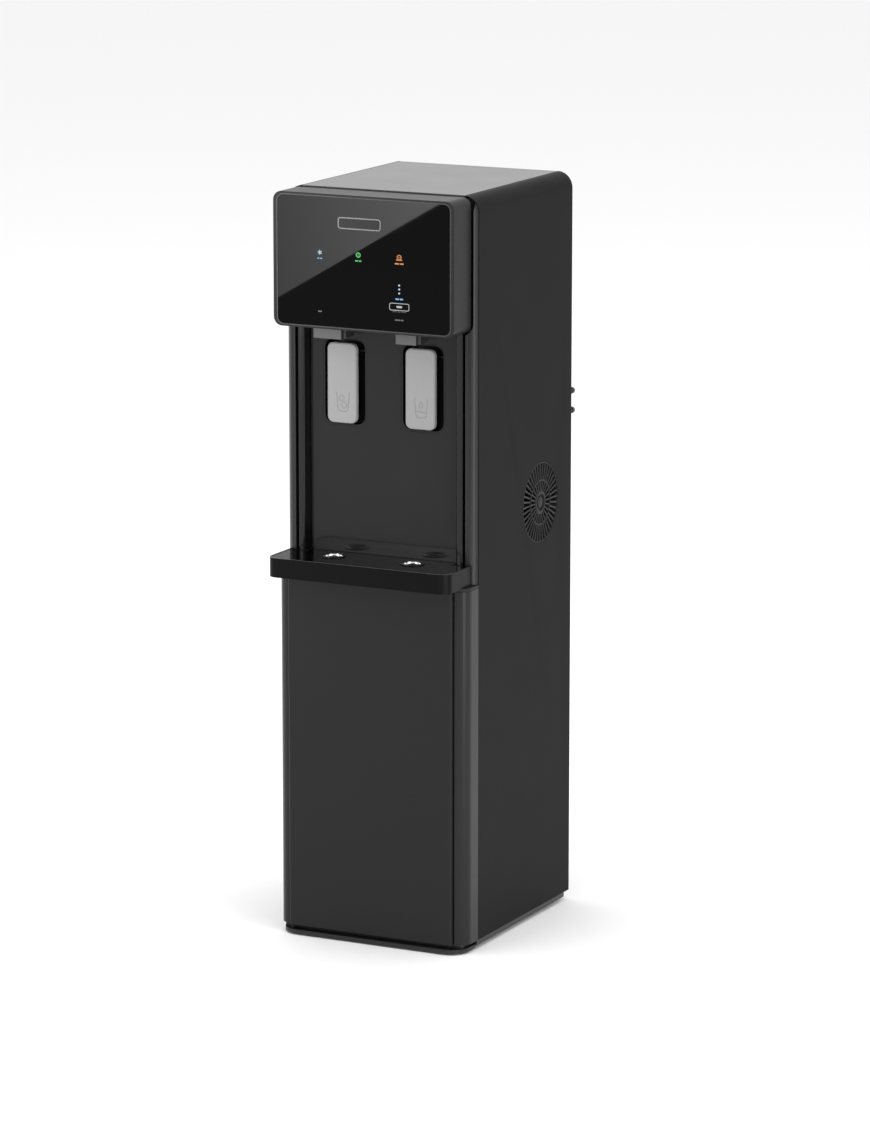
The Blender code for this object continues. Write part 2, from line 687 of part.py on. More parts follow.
def build_spout(name, span):
    centre = (span[0] + span[1]) / 2
    outline = rounded_rect(span[0], span[1], SPOUT_Y[0], SPOUT_Y[1], 1.5 * MM, 3)
    obj = prism(name, outline, *SPOUT_Z, "Z", (GREY, 0.45))
    middle = (SPOUT_Y[0] + SPOUT_Y[1]) / 2
    low = SPOUT_Z[0]
    return cut(obj, cylinder_tool((centre, middle), SPOUT_BORE_R, low - 5 * MM, low + SPOUT_BORE_H, "Z", 20))


def build_nozzle_body(name, span):
    outline = box_outline(span[0] + NOZZLE_INSET, span[1] - NOZZLE_INSET, *NOZZLE_Y)
    return prism(name, outline, *NOZZLE_Z, "Z", (BLACK, 0.5))


# ------------------------------------------------------------------ head
def build_head_shell():
    low, high = HEAD_Z
    outline = rounded_rect(-HEAD_HALF_W, HEAD_HALF_W, low, high, HEAD_R, 6)
    obj = prism("head_shell", outline, HEAD_FRONT_Y, HEAD_REAR_Y, "Y", (STEEL, 0.35))
    w = HEAD_WALL
    inside = rounded_rect(-HEAD_HALF_W + w, HEAD_HALF_W - w, low + w, high - w, HEAD_R - w, 6)
    cut(obj, prism("tool", inside, HEAD_FRONT_Y + HEAD_FACE_T, HEAD_REAR_Y + 5 * MM, "Y", None))
    window = rounded_rect(-GLASS_HALF_W, GLASS_HALF_W, *GLASS_Z, GLASS_R, 6)
    cut(obj, prism("tool", window, HEAD_FRONT_Y - 5 * MM, HEAD_FRONT_Y + HEAD_FACE_T + 5 * MM, "Y", None))
    return smooth(obj, 30)


def build_glass_panel():
    half = GLASS_HALF_W - GAP
    outline = rounded_rect(-half, half, GLASS_Z[0] + GAP, GLASS_Z[1] - GAP, GLASS_R - GAP, 6)
    front = HEAD_FRONT_Y + GLASS_SET_BACK
    return prism("glass_panel", outline, front, front + GLASS_T, "Y", (BLACK, 0.05))


def build_badge_plate():
    outline = rounded_rect(BADGE_X[0], BADGE_X[1], BADGE_Z[0], BADGE_Z[1], 3 * MM, 3)
    front = HEAD_FRONT_Y + GLASS_SET_BACK
    return prism("badge_plate", outline, front - BADGE_T, front - 0.05 * MM, "Y", (CHROME, 0.3, 1.0))


def build_display_board():
    outline = box_outline(-BOARD_HALF_W, BOARD_HALF_W, *BOARD_Z)
    return prism("display_board", outline, *BOARD_Y, "Y", (GREEN, 0.5))


def build_head_back_plate():
    w = HEAD_WALL + GAP
    low, high = HEAD_Z
    outline = rounded_rect(-HEAD_HALF_W + w, HEAD_HALF_W - w, low + w, high - w, HEAD_R - w, 6)
    rear = HEAD_REAR_Y - 0.4 * MM
    obj = prism("head_back_plate", outline, rear - BACK_PLATE_T, rear, "Y", (BLACK, 0.6))
    hole = rounded_rect(-40 * MM, 40 * MM, 985 * MM, 1025 * MM, 8 * MM, 4)
    return cut(obj, prism("tool", hole, rear - 20 * MM, rear + 20 * MM, "Y", None))


def build_head_neck():
    outline = box_outline(-NECK_HALF_W, NECK_HALF_W, *NECK_Z)
    return prism("head_neck", outline, HEAD_REAR_Y, CHASSIS_Y[0] - GAP, "Y", (BLACK, 0.6))


# ------------------------------------------------------------------ drip tray
def tray_outline(inset=0.0):
    """Plan of the tray: wide front slab, shoulders that follow the posts, tongue into the niche."""
    half = TRAY_HALF_W - inset
    front = TRAY_FRONT_Y + inset
    r = TRAY_CORNER_R - inset
    tongue = TRAY_TONGUE_X - inset
    right = arc(half - r, front + r, r, -90, 0, 8)
    clear_r = FRAME_R + TRAY_CLEAR + inset
    centre_x = CAB_HALF_W - FRAME_R
    start = math.degrees(math.acos((half - centre_x) / clear_r))
    follow = arc(centre_x, FRAME_CENTRE_Y, clear_r, -start, -78, 3)
    right += [p for p in follow if p[1] > TRAY_SHOULDER_Y - inset]
    right += [(centre_x - 1 * MM, TRAY_SHOULDER_Y - inset), (tongue, TRAY_SHOULDER_Y - inset)]
    right += [(tongue, TRAY_REAR_Y - inset)]
    return right + [(-a, b) for a, b in reversed(right)]


def build_drip_tray():
    low, high = TRAY_Z
    obj = prism("drip_tray", tray_outline(), low, high, "Z", (BLACK, 0.3))
    cut(obj, prism("tool", tray_outline(TRAY_WALL), TRAY_LEDGE_Z, high + 5 * MM, "Z", None))
    half = TRAY_HALF_W - TRAY_WELL_INSET
    front, rear = TRAY_FRONT_Y + TRAY_WELL_INSET, TRAY_SHOULDER_Y - TRAY_WELL_INSET
    well = rounded_rect(-half, half, front, rear, TRAY_WELL_R, 4)
    return cut(obj, prism("tool", well, low + TRAY_FLOOR_T, high, "Z", None))


def build_tray_cover():
    outline = tray_outline(TRAY_WALL + GAP)
    obj = prism("tray_cover", outline, TRAY_LEDGE_Z + 0.1 * MM, TRAY_Z[1] - 0.4 * MM, "Z", (BLACK, 0.1))
    for x in (-DRAIN_X, DRAIN_X):
        cut(obj, cylinder_tool((x, DRAIN_Y), DRAIN_R, TRAY_LEDGE_Z - 5 * MM, TRAY_Z[1] + 5 * MM, "Z", 32))
    return obj


def build_drain_ring(name, x):
    base = TRAY_Z[1] - 0.4 * MM + 0.05 * MM
    top = base + DRAIN_RING_H
    profile = [(DRAIN_R, base), (DRAIN_RING_R, base), (DRAIN_RING_R - 1 * MM, top), (DRAIN_R + 0.8 * MM, top)]
    return smooth(turned_ring(name, profile, (x, DRAIN_Y), "Z", 32, (CHROME, 0.15, 1.0)), 50)


def build_tray_shelf():
    r = COLUMN_R
    corner = arc(CAB_HALF_W - r, COLUMN_FRONT_Y + r, r, -90, 0, 6)
    right = corner + [(CAB_HALF_W, -GAP), (POST_INNER_X, -GAP)]
    right += [(POST_INNER_X, BACK_PANEL_Y[1])]
    left = [(-a, b) for a, b in reversed(right)]
    x0, x1, y = DOOR_PIN_TAB
    tab = [(x0, COLUMN_FRONT_Y), (x0, y), (x1, y), (x1, COLUMN_FRONT_Y)]
    obj = prism("tray_shelf", right + left + tab, *SHELF_Z, "Z", (BLACK, 0.5))
    pin_low = DOOR_Z[1] - DOOR_PIN_LENGTH
    return fuse(obj, cylinder_tool(DOOR_AXIS, DOOR_PIN_R, pin_low, SHELF_Z[0] + 2 * MM, "Z", 12))


# ------------------------------------------------------------------ lower front
def build_column(name, sign):
    r = COLUMN_R
    t = COLUMN_T
    outer = [(COLUMN_INNER_X, COLUMN_FRONT_Y)]
    outer += arc(CAB_HALF_W - r, COLUMN_FRONT_Y + r, r, -90, 0, 7)
    outer += [(CAB_HALF_W, -GAP)]
    inner = [(CAB_HALF_W - t, -GAP)]
    inner += arc(CAB_HALF_W - r, COLUMN_FRONT_Y + r, r - t, 0, -90, 7)[:-1]
    x = COLUMN_INNER_X
    inner += [(x + t, COLUMN_FRONT_Y + t), (x + t, COLUMN_FLANGE_Y), (x, COLUMN_FLANGE_Y)]
    outline = outer + inner
    if sign < 0:
        outline = mirrored(outline)
    return smooth(prism(name, outline, *COLUMN_Z, "Z", (STEEL, 0.4)), 30)


def build_lower_door():
    front, rear = DOOR_Y
    half = DOOR_HALF_W
    r = DOOR_EDGE_R
    outline = arc(half - r, front + r, r, -90, 0, 4) + [(half, rear), (-half, rear)]
    outline += arc(-half + r, front + r, r, 180, 270, 4)
    obj = prism("lower_door", outline, *DOOR_Z, "Z", (STEEL, 0.4))
    low, high = DOOR_Z
    cut(obj, cylinder_tool(DOOR_AXIS, DOOR_BORE_R, low - 5 * MM, low + DOOR_BORE_DEPTH, "Z", 12))
    cut(obj, cylinder_tool(DOOR_AXIS, DOOR_BORE_R, high - DOOR_BORE_DEPTH, high + 5 * MM, "Z", 12))
    set_origin(obj, (DOOR_AXIS[0], DOOR_AXIS[1], (low + high) / 2))
    return smooth(obj, 40)


def build_door_catch():
    w, d, h = CATCH_SIZE
    x1 = COLUMN_INNER_X - GAP
    y0 = DOOR_Y[1] + GAP
    obj = box_tool((x1 - w, x1), (y0, y0 + d), (CATCH_Z - h / 2, CATCH_Z + h / 2))
    obj.name = "door_catch"
    obj.data.name = "door_catch"
    obj.data.materials.append(material("door_catch", BLACK, 0.5))
    return obj


# ------------------------------------------------------------------ inner works
def build_mid_shelf():
    outline = box_outline(-MID_SHELF_HALF_W, MID_SHELF_HALF_W, *MID_SHELF_Y)
    return prism("mid_shelf", outline, *MID_SHELF_Z, "Z", (STEEL, 0.5))


def build_filter_manifold():
    outline = rounded_rect(-MANIFOLD_HALF_W, MANIFOLD_HALF_W, FILTER_Y - MANIFOLD_HALF_D,
                           FILTER_Y + MANIFOLD_HALF_D, 8 * MM, 4)
    obj = prism("filter_manifold", outline, *MANIFOLD_Z, "Z", (WHITE, 0.5))
    for index in (-1, 0, 1):
        at = (index * FILTER_PITCH, FILTER_Y)
        top = MANIFOLD_Z[0] + MANIFOLD_SOCKET_H
        cut(obj, cylinder_tool(at, MANIFOLD_SOCKET_R, MANIFOLD_Z[0] - 5 * MM, top, "Z", 20))
    return obj


def build_filter(name, index):
    r = FILTER_R
    low, high = FILTER_Z
    neck = high + FILTER_NECK_H
    profile = [(0, low), (r - 6 * MM, low), (r, low + 8 * MM), (r, high - 10 * MM), (r - 5 * MM, high),
               (FILTER_NECK_R, high), (FILTER_NECK_R, neck), (0, neck)]
    obj = lathe(name, profile, (index * FILTER_PITCH, FILTER_Y), "Z", 20, (WHITE, 0.4))
    set_origin(obj, (index * FILTER_PITCH, FILTER_Y, high))
    return smooth(obj, 35)


def build_compressor():
    r = COMPRESSOR_R
    low, high = COMPRESSOR_Z
    crown, shoulder = COMPRESSOR_ROOF
    profile = [(0, high - crown), (COMPRESSOR_BORE_R, high - shoulder), (COMPRESSOR_BORE_R, low),
               (r + 6 * MM, low), (r + 6 * MM, low + 4 * MM), (r - 4 * MM, low + 12 * MM),
               (r, low + 45 * MM), (r, high - 60 * MM), (r - 10 * MM, high - 24 * MM),
               (r - 34 * MM, high - 4 * MM), (0, high)]
    return smooth(lathe("compressor", profile, COMPRESSOR_AT, "Z", 24, (BLACK, 0.4)), 40)


def build_condenser_coil():
    path = []
    for row in range(COIL_ROWS):
        z = COIL_Z0 + row * COIL_PITCH
        sign = 1 if row % 2 == 0 else -1
        start = -sign * COIL_HALF_W
        path.append((start, COIL_Y, z))
        path.append((-start, COIL_Y, z))
        if row < COIL_ROWS - 1:
            bend = arc(-start, z + COIL_PITCH / 2, COIL_PITCH / 2, -90, -90 + sign * 180, 6)[1:-1]
            path += [(x, COIL_Y, zz) for x, zz in bend]
    return smooth(swept_pipe("condenser_coil", path, COIL_R, 8, (BLACK, 0.5)), 60)


def build_tank(name, at, radius, span, wall, finish):
    """Domed tank with an open well of the given wall, reached from below."""
    low, high = span
    bore = radius - wall
    roof = high - wall
    profile = [(0, roof), (bore - 8 * MM, roof - 2 * MM), (bore, roof - 14 * MM), (bore, low), (radius, low),
               (radius, high - 22 * MM), (radius - 10 * MM, high - 8 * MM), (14 * MM, high), (0, high)]
    return smooth(lathe(name, profile, at, "Z", 28, finish), 40)


def build_cold_tank():
    return build_tank("cold_tank", COLD_TANK_AT, COLD_TANK_R, COLD_TANK_Z, COLD_TANK_WALL, (WHITE, 0.8))


def build_hot_tank():
    return build_tank("hot_tank", HOT_TANK_AT, HOT_TANK_R, HOT_TANK_Z, HOT_TANK_WALL, (CHROME, 0.3, 1.0))


def build_fan_ring():
    inner, outer = FAN_RING_R
    low, high = FAN_RING_X
    profile = [(inner, low), (outer, low), (outer, high), (inner, high)]
    obj = turned_ring("fan_ring", profile, (FAN_Y, FAN_Z), "X", 32, (BLACK, 0.5))
    spider_high = low + FAN_SPIDER_T
    for turn in range(3):
        angle = 2 * math.pi * turn / 3
        arm = box_outline(0.0, (inner + outer) / 2, -FAN_SPIDER_W / 2, FAN_SPIDER_W / 2)
        ca, sa = math.cos(angle), math.sin(angle)
        turned = [(FAN_Y + a * ca - b * sa, FAN_Z + a * sa + b * ca) for a, b in arm]
        fuse(obj, prism("tool", turned, low + 0.5 * MM, spider_high - 0.5 * MM, "X", None))
    fuse(obj, cylinder_tool((FAN_Y, FAN_Z), FAN_HUB_R, low, spider_high, "X", 24))
    return smooth(obj, 35)


def build_fan_rotor():
    low, high = FAN_HUB_X
    profile = [(0, low), (FAN_HUB_R, low), (FAN_HUB_R, high - 2 * MM), (FAN_HUB_R - 2 * MM, high), (0, high)]
    obj = lathe("fan_rotor", profile, (FAN_Y, FAN_Z), "X", 24, (BLACK, 0.5))
    middle = (low + high) / 2
    inner = FAN_HUB_R - 3 * MM
    c = FAN_BLADE_CHORD / 2
    t = FAN_BLADE_T / 2
    for turn in range(FAN_BLADE_COUNT):
        blade = prism("tool", box_outline(-c, c, -t, t), inner, FAN_BLADE_TIP_R, "Z", None)
        spin = Matrix.Rotation(2 * math.pi * turn / FAN_BLADE_COUNT, 4, "X")
        pitch = Matrix.Rotation(FAN_BLADE_PITCH, 4, "Z")
        blade.data.transform(Matrix.Translation((middle, FAN_Y, FAN_Z)) @ spin @ pitch)
        fuse(obj, blade)
    set_origin(obj, (middle, FAN_Y, FAN_Z))
    return smooth(obj, 35)


def build_power_case():
    outline = rounded_rect(*POWER_CASE_Y, *POWER_CASE_Z, 4 * MM, 3)
    return prism("power_case", outline, *POWER_CASE_X, "X", (WHITE, 0.5))


# ------------------------------------------------------------------ rear fittings
def build_water_fitting(name, z):
    r = FITTING_R
    low = REAR_HEADER_Y[0] - 20 * MM
    high = FITTING_REAR_Y
    collar = high - 7 * MM
    neck = r - 0.7 * MM
    edge = 1 * MM
    profile = [(0, low), (neck, low), (neck, collar), (r, collar),
               (r, high - edge), (r - edge, high), (0, high)]
    return smooth(lathe(name, profile, (FITTING_X, z), "Y", 20, (BLACK, 0.5)), 40)


def build_power_inlet():
    x, z = INLET_AT
    w, h = INLET_SIZE
    outline = rounded_rect(x - w / 2, x + w / 2, z - h / 2, z + h / 2, 3 * MM, 3)
    rear = REAR_PANEL_Y[1] + 1.5 * MM
    obj = prism("power_inlet", outline, rear - 24 * MM, rear, "Y", (BLACK, 0.5))
    w, h = w / 2 - INLET_WALL, h / 2 - INLET_WALL
    mouth = rounded_rect(x - w, x + w, z - h, z + h, INLET_WALL, 3)
    return cut(obj, prism("tool", mouth, rear - 16 * MM, rear + 5 * MM, "Y", None))


def build_rocker_frame():
    fw, fh = ROCKER_FRAME_HALF
    low, high = REAR_HEADER_Y[0] - 12 * MM, REAR_PANEL_Y[1] + 1 * MM
    outline = box_outline(ROCKER_X[0] - fw, ROCKER_X[-1] + fw, ROCKER_Z - fh, ROCKER_Z + fh)
    obj = prism("rocker_frame", outline, low, high, "Y", (BLACK, 0.5))
    rw, rh = ROCKER_HALF
    g = 2 * GAP
    for x in ROCKER_X:
        hole = box_outline(x - rw - g, x + rw + g, ROCKER_Z - rh - g, ROCKER_Z + rh + g)
        cut(obj, prism("tool", hole, low - 5 * MM, high + 5 * MM, "Y", None))
    return obj


def build_rocker(name, x):
    rw, rh = ROCKER_HALF
    rear = REAR_PANEL_Y[1]
    pivot_y = rear - 7 * MM
    outline = [(pivot_y - 3 * MM, ROCKER_Z - 3 * MM), (rear + 1.5 * MM, ROCKER_Z - rh + 1 * MM),
               (rear - 0.2 * MM, ROCKER_Z), (rear + 1.5 * MM, ROCKER_Z + rh - 1 * MM),
               (pivot_y - 3 * MM, ROCKER_Z + 3 * MM)]
    obj = prism(name, outline, x - rw, x + rw, "X", (BLACK, 0.35))
    set_origin(obj, (x, pivot_y, ROCKER_Z))
    return obj


def build_drain_plug():
    rear = REAR_PANEL_Y[1]
    r = PLUG_R
    stem, tip = r - 3 * MM, rear - 22 * MM
    profile = [(0, tip), (stem, tip), (stem, rear - 6 * MM), (r, rear - 5 * MM),
               (r, rear + 5 * MM), (r - 1 * MM, rear + 6 * MM), (0, rear + 6 * MM)]
    obj = lathe("hot_drain_plug", profile, PLUG_AT, "Y", 24, (BLACK, 0.45))
    set_origin(obj, (PLUG_AT[0], rear, PLUG_AT[1]))
    return smooth(obj, 35)


def build_all():
    parts = [build_base_plinth()]
    for side, x in (("left", -FOOT_X), ("right", FOOT_X)):
        parts.append(build_foot("foot_front_" + side, x, FOOT_FRONT_Y))
        parts.append(build_foot("foot_rear_" + side, x, FOOT_REAR_Y))
    for side, sign in (("left", -1), ("right", 1)):
        parts.append(build_side_panel("side_panel_" + side, sign))
        parts.append(build_niche_trim("niche_trim_" + side, sign))
        parts.append(build_column("column_" + side, sign))
        parts.append(build_lever_pocket("lever_pocket_" + side, sign * LEVER_X))
        parts.append(build_lever("lever_" + side, sign * LEVER_X))
        parts.append(build_lever_switch("lever_switch_" + side, sign * LEVER_X))
        parts.append(build_drain_ring("drain_ring_" + side, sign * DRAIN_X))
    for side, span in (("left", SPOUT_LEFT_X), ("right", SPOUT_RIGHT_X)):
        parts.append(build_spout("spout_" + side, span))
        parts.append(build_nozzle_body("nozzle_body_" + side, span))
    parts += [build_fan_grille(), build_rear_panel(), build_rear_header(), build_top_cover()]
    parts += [build_front_frame(), build_chassis_front(), build_niche_back_panel()]
    parts += [build_head_shell(), build_glass_panel(), build_badge_plate(), build_display_board()]
    parts += [build_head_back_plate(), build_head_neck()]
    parts += [build_drip_tray(), build_tray_cover(), build_tray_shelf()]
    parts += [build_lower_door(), build_door_catch(), build_mid_shelf(), build_filter_manifold()]
    for number, index in (("1", -1), ("2", 0), ("3", 1)):
        parts.append(build_filter("filter_" + number, index))
    parts += [build_compressor(), build_condenser_coil()]
    parts += [build_cold_tank(), build_hot_tank()]
    parts += [build_fan_ring(), build_fan_rotor(), build_power_case()]
    parts.append(build_water_fitting("water_inlet", FITTING_Z[1]))
    parts.append(build_water_fitting("water_outlet", FITTING_Z[0]))
    parts.append(build_power_inlet())
    parts.append(build_rocker_frame())
    for number, x in zip(("1", "2"), ROCKER_X):
        parts.append(build_rocker("rocker_" + number, x))
    parts.append(build_drain_plug())
    for obj in parts:
        obj.location = Vector(obj.location) + Vector(ORIGIN_SHIFT)


clear_scene()
build_all()
bpy.context.view_layer.update()
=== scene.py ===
"""Looks of the tower water dispenser: materials, fine detail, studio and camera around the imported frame."""
import math

import bmesh
import bpy
from mathutils import Matrix, Vector


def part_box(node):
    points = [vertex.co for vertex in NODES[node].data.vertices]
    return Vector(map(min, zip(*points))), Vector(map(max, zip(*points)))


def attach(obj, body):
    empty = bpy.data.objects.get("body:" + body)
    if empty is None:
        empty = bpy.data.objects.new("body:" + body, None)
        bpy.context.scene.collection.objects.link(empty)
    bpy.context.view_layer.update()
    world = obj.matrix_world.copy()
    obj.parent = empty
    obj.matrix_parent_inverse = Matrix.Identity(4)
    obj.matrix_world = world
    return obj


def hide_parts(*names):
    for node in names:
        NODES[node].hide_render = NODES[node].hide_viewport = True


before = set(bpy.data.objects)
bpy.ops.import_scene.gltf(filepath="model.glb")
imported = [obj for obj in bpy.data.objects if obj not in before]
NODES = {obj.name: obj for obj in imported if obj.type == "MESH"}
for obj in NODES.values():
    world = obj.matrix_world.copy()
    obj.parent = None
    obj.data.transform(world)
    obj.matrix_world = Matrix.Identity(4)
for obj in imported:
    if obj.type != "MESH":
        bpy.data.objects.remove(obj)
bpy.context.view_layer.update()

MM = 0.001

# Camera
CAMERA_AZIMUTH = math.radians(26.605)
CAMERA_ELEVATION = math.radians(11.749)
CAMERA_PLACE = (3.2964, -6.5370, 2.0531)
CAMERA_LENS = 158.53
SENSOR_WIDTH = 36.0

# Stage
FLOOR_SIZE = 60.0
FLOOR_COLOUR = (0.91, 0.91, 0.91, 1.0)
FLOOR_DROP = 0.5 * MM


# ------------------------------------------------------------------ node helpers
class Shader:
    """A Principled material whose colour, roughness and bump come from its own noise."""

    def __init__(self, name, roughness, metallic=0.0, coat=0.0, specular=0.5):
        self.material = bpy.data.materials.new(name)
        self.material.use_nodes = True
        self.tree = self.material.node_tree
        self.shader = self.tree.nodes["Principled BSDF"]
        self.set("Roughness", roughness)
        self.set("Metallic", metallic)
        self.set("Coat Weight", coat)
        self.set("Specular IOR Level", specular)
        self.coordinates = self.tree.nodes.new("ShaderNodeTexCoord")
        self.height = None

    def set(self, socket, value):
        self.shader.inputs[socket].default_value = value

    def node(self, kind, **values):
        made = self.tree.nodes.new(kind)
        for key, value in values.items():
            setattr(made, key, value)
        return made

    def link(self, source, target):
        self.tree.links.new(source, target)

    def stretched(self, scale):
        mapping = self.node("ShaderNodeMapping")
        mapping.inputs["Scale"].default_value = scale
        self.link(self.coordinates.outputs["Object"], mapping.inputs["Vector"])
        return mapping.outputs["Vector"]

    def noise(self, scale, detail=3.0, stretch=(1, 1, 1)):
        made = self.node("ShaderNodeTexNoise")
        made.inputs["Scale"].default_value = scale
        made.inputs["Detail"].default_value = detail
        self.link(self.stretched(stretch), made.inputs["Vector"])
        return made.outputs["Fac"]

    def between(self, factor, low, high, start=0.3, stop=0.7):
        made = self.node("ShaderNodeMapRange")
        for key, value in (("From Min", start), ("From Max", stop), ("To Min", low), ("To Max", high)):
            made.inputs[key].default_value = value
        self.link(factor, made.inputs["Value"])
        return made.outputs["Result"]

    def mixed(self, factor, first, second):
        made = self.node("ShaderNodeMix", data_type="RGBA")
        for socket, value in ((made.inputs["A"], first), (made.inputs["B"], second)):
            self.fill(socket, value)
        self.fill(made.inputs["Factor"], factor)
        return made.outputs["Result"]

    def fill(self, socket, value):
        if isinstance(value, bpy.types.NodeSocket):
            self.link(value, socket)
        else:
            socket.default_value = value

    def bump(self, height, strength, distance):
        made = self.node("ShaderNodeBump")
        made.inputs["Strength"].default_value = strength
        made.inputs["Distance"].default_value = distance
        self.link(height, made.inputs["Height"])
        if self.height is not None:
            self.link(self.height, made.inputs["Normal"])
        self.height = made.outputs["Normal"]
        self.link(self.height, self.shader.inputs["Normal"])

    def edges(self, low=0.53, high=0.62):
        """1 on worn convex edges, 0 on flat faces."""
        pointed = self.node("ShaderNodeNewGeometry").outputs["Pointiness"]
        return self.between(pointed, 0.0, 1.0, low, high)

    def blackened(self, tone, level):
        """The tone up to a y level on the part, and black behind it."""
        split = self.node("ShaderNodeSeparateXYZ")
        self.link(self.coordinates.outputs["Object"], split.inputs["Vector"])
        behind = self.between(split.outputs["Y"], 0.0, 1.0, level, level + 0.1 * MM)
        return self.mixed(behind, tone, grey(0.005))


def grey(value, tint=0.0):
    return (value, value * (1 + tint * 0.5), value * (1 + tint), 1.0)


def darkened(colour, share):
    return tuple(c * share for c in colour[:3]) + (1.0,)


def moulded(name, colour, worn, roughness, spread=0.015, grain=900.0, depth=0.06, specular=0.5,
            black_from=None):
    """Moulded plastic: fine grain, cloudy sheen, faint rubbing on its edges."""
    made = Shader(name, roughness, specular=specular)
    cloud = made.noise(9.0)
    base = made.mixed(made.between(cloud, 0.0, 1.0), darkened(colour, 0.96), colour)
    tone = made.mixed(made.edges(), base, worn)
    if black_from is not None:
        tone = made.blackened(tone, black_from)
    made.link(tone, made.shader.inputs["Base Color"])
    smudge = made.noise(26.0, 5.0)
    rough = made.between(smudge, roughness - spread, roughness + spread)
    made.link(rough, made.shader.inputs["Roughness"])
    made.bump(made.noise(grain, 2.0), depth, 0.0004)
    return made.material


def sheet_metal(name, colour, worn, roughness, specular=0.5, spread=0.012, black_from=None):
    """Powder-coated sheet: orange peel, slight waviness and soft edge wear."""
    made = Shader(name, roughness, specular=specular)
    cloud = made.noise(4.0)
    base = made.mixed(made.between(cloud, 0.0, 1.0), darkened(colour, 0.94), colour)
    tone = made.mixed(made.edges(), base, worn)
    if black_from is not None:
        tone = made.blackened(tone, black_from)
    made.link(tone, made.shader.inputs["Base Color"])
    rough = made.between(made.noise(14.0, 5.0), roughness - spread, roughness + spread)
    made.link(rough, made.shader.inputs["Roughness"])
    made.bump(made.noise(650.0, 2.0), 0.05, 0.0004)
    made.bump(made.noise(5.0, 1.0), 0.04, 0.002)
    return made.material


def polished(name, colour, roughness, specular=0.5, smudges=0.03):
    """Glossy moulding or glass: nearly smooth, with faint fingerprints in the sheen."""
    made = Shader(name, roughness, specular=specular)
    cloud = made.noise(7.0)
    base = made.mixed(made.between(cloud, 0.0, 1.0), darkened(colour, 0.85), colour)
    made.link(base, made.shader.inputs["Base Color"])
    smudge = made.between(made.noise(18.0, 6.0), roughness, roughness + smudges, 0.45, 0.75)
    made.link(smudge, made.shader.inputs["Roughness"])
    made.bump(made.noise(6.0, 1.0), 0.015, 0.001)
    return made.material


def metal(name, colour, roughness, stretch=(1, 1, 1), grain=500.0):
    """Bare or plated metal; stretch draws its grain out along a direction."""
    made = Shader(name, roughness, metallic=1.0)
    grain_out = made.noise(grain, 3.0, stretch)
    base = made.mixed(made.between(grain_out, 0.0, 1.0), darkened(colour, 0.8), colour)
    made.link(base, made.shader.inputs["Base Color"])
    rough = made.between(grain_out, roughness, roughness + 0.08)
    made.link(rough, made.shader.inputs["Roughness"])
    made.bump(grain_out, 0.06, 0.0002)
    return made.material


def lamp(name, colour, strength):
    """A lit mark behind the glass, slightly uneven as a light guide is."""
    made = Shader(name, 0.35)
    bright = made.noise(500.0, 1.0)
    tone = made.mixed(made.between(bright, 0.0, 1.0), darkened(colour, 0.75), colour)
    made.set("Base Color", (0.01, 0.01, 0.01, 1.0))
    made.link(tone, made.shader.inputs["Emission Color"])
    made.set("Emission Strength", strength)
    made.bump(bright, 0.02, 0.0001)
    return made.material


# Levels behind which a part is black: a lever's hub and pins, and a band along the top cover's rear edge,
# painted shade of that edge
LEVER_CAP_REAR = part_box("lever_left")[0].y + 7.1 * MM
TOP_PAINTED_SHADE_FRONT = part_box("top_cover")[1].y - 9 * MM

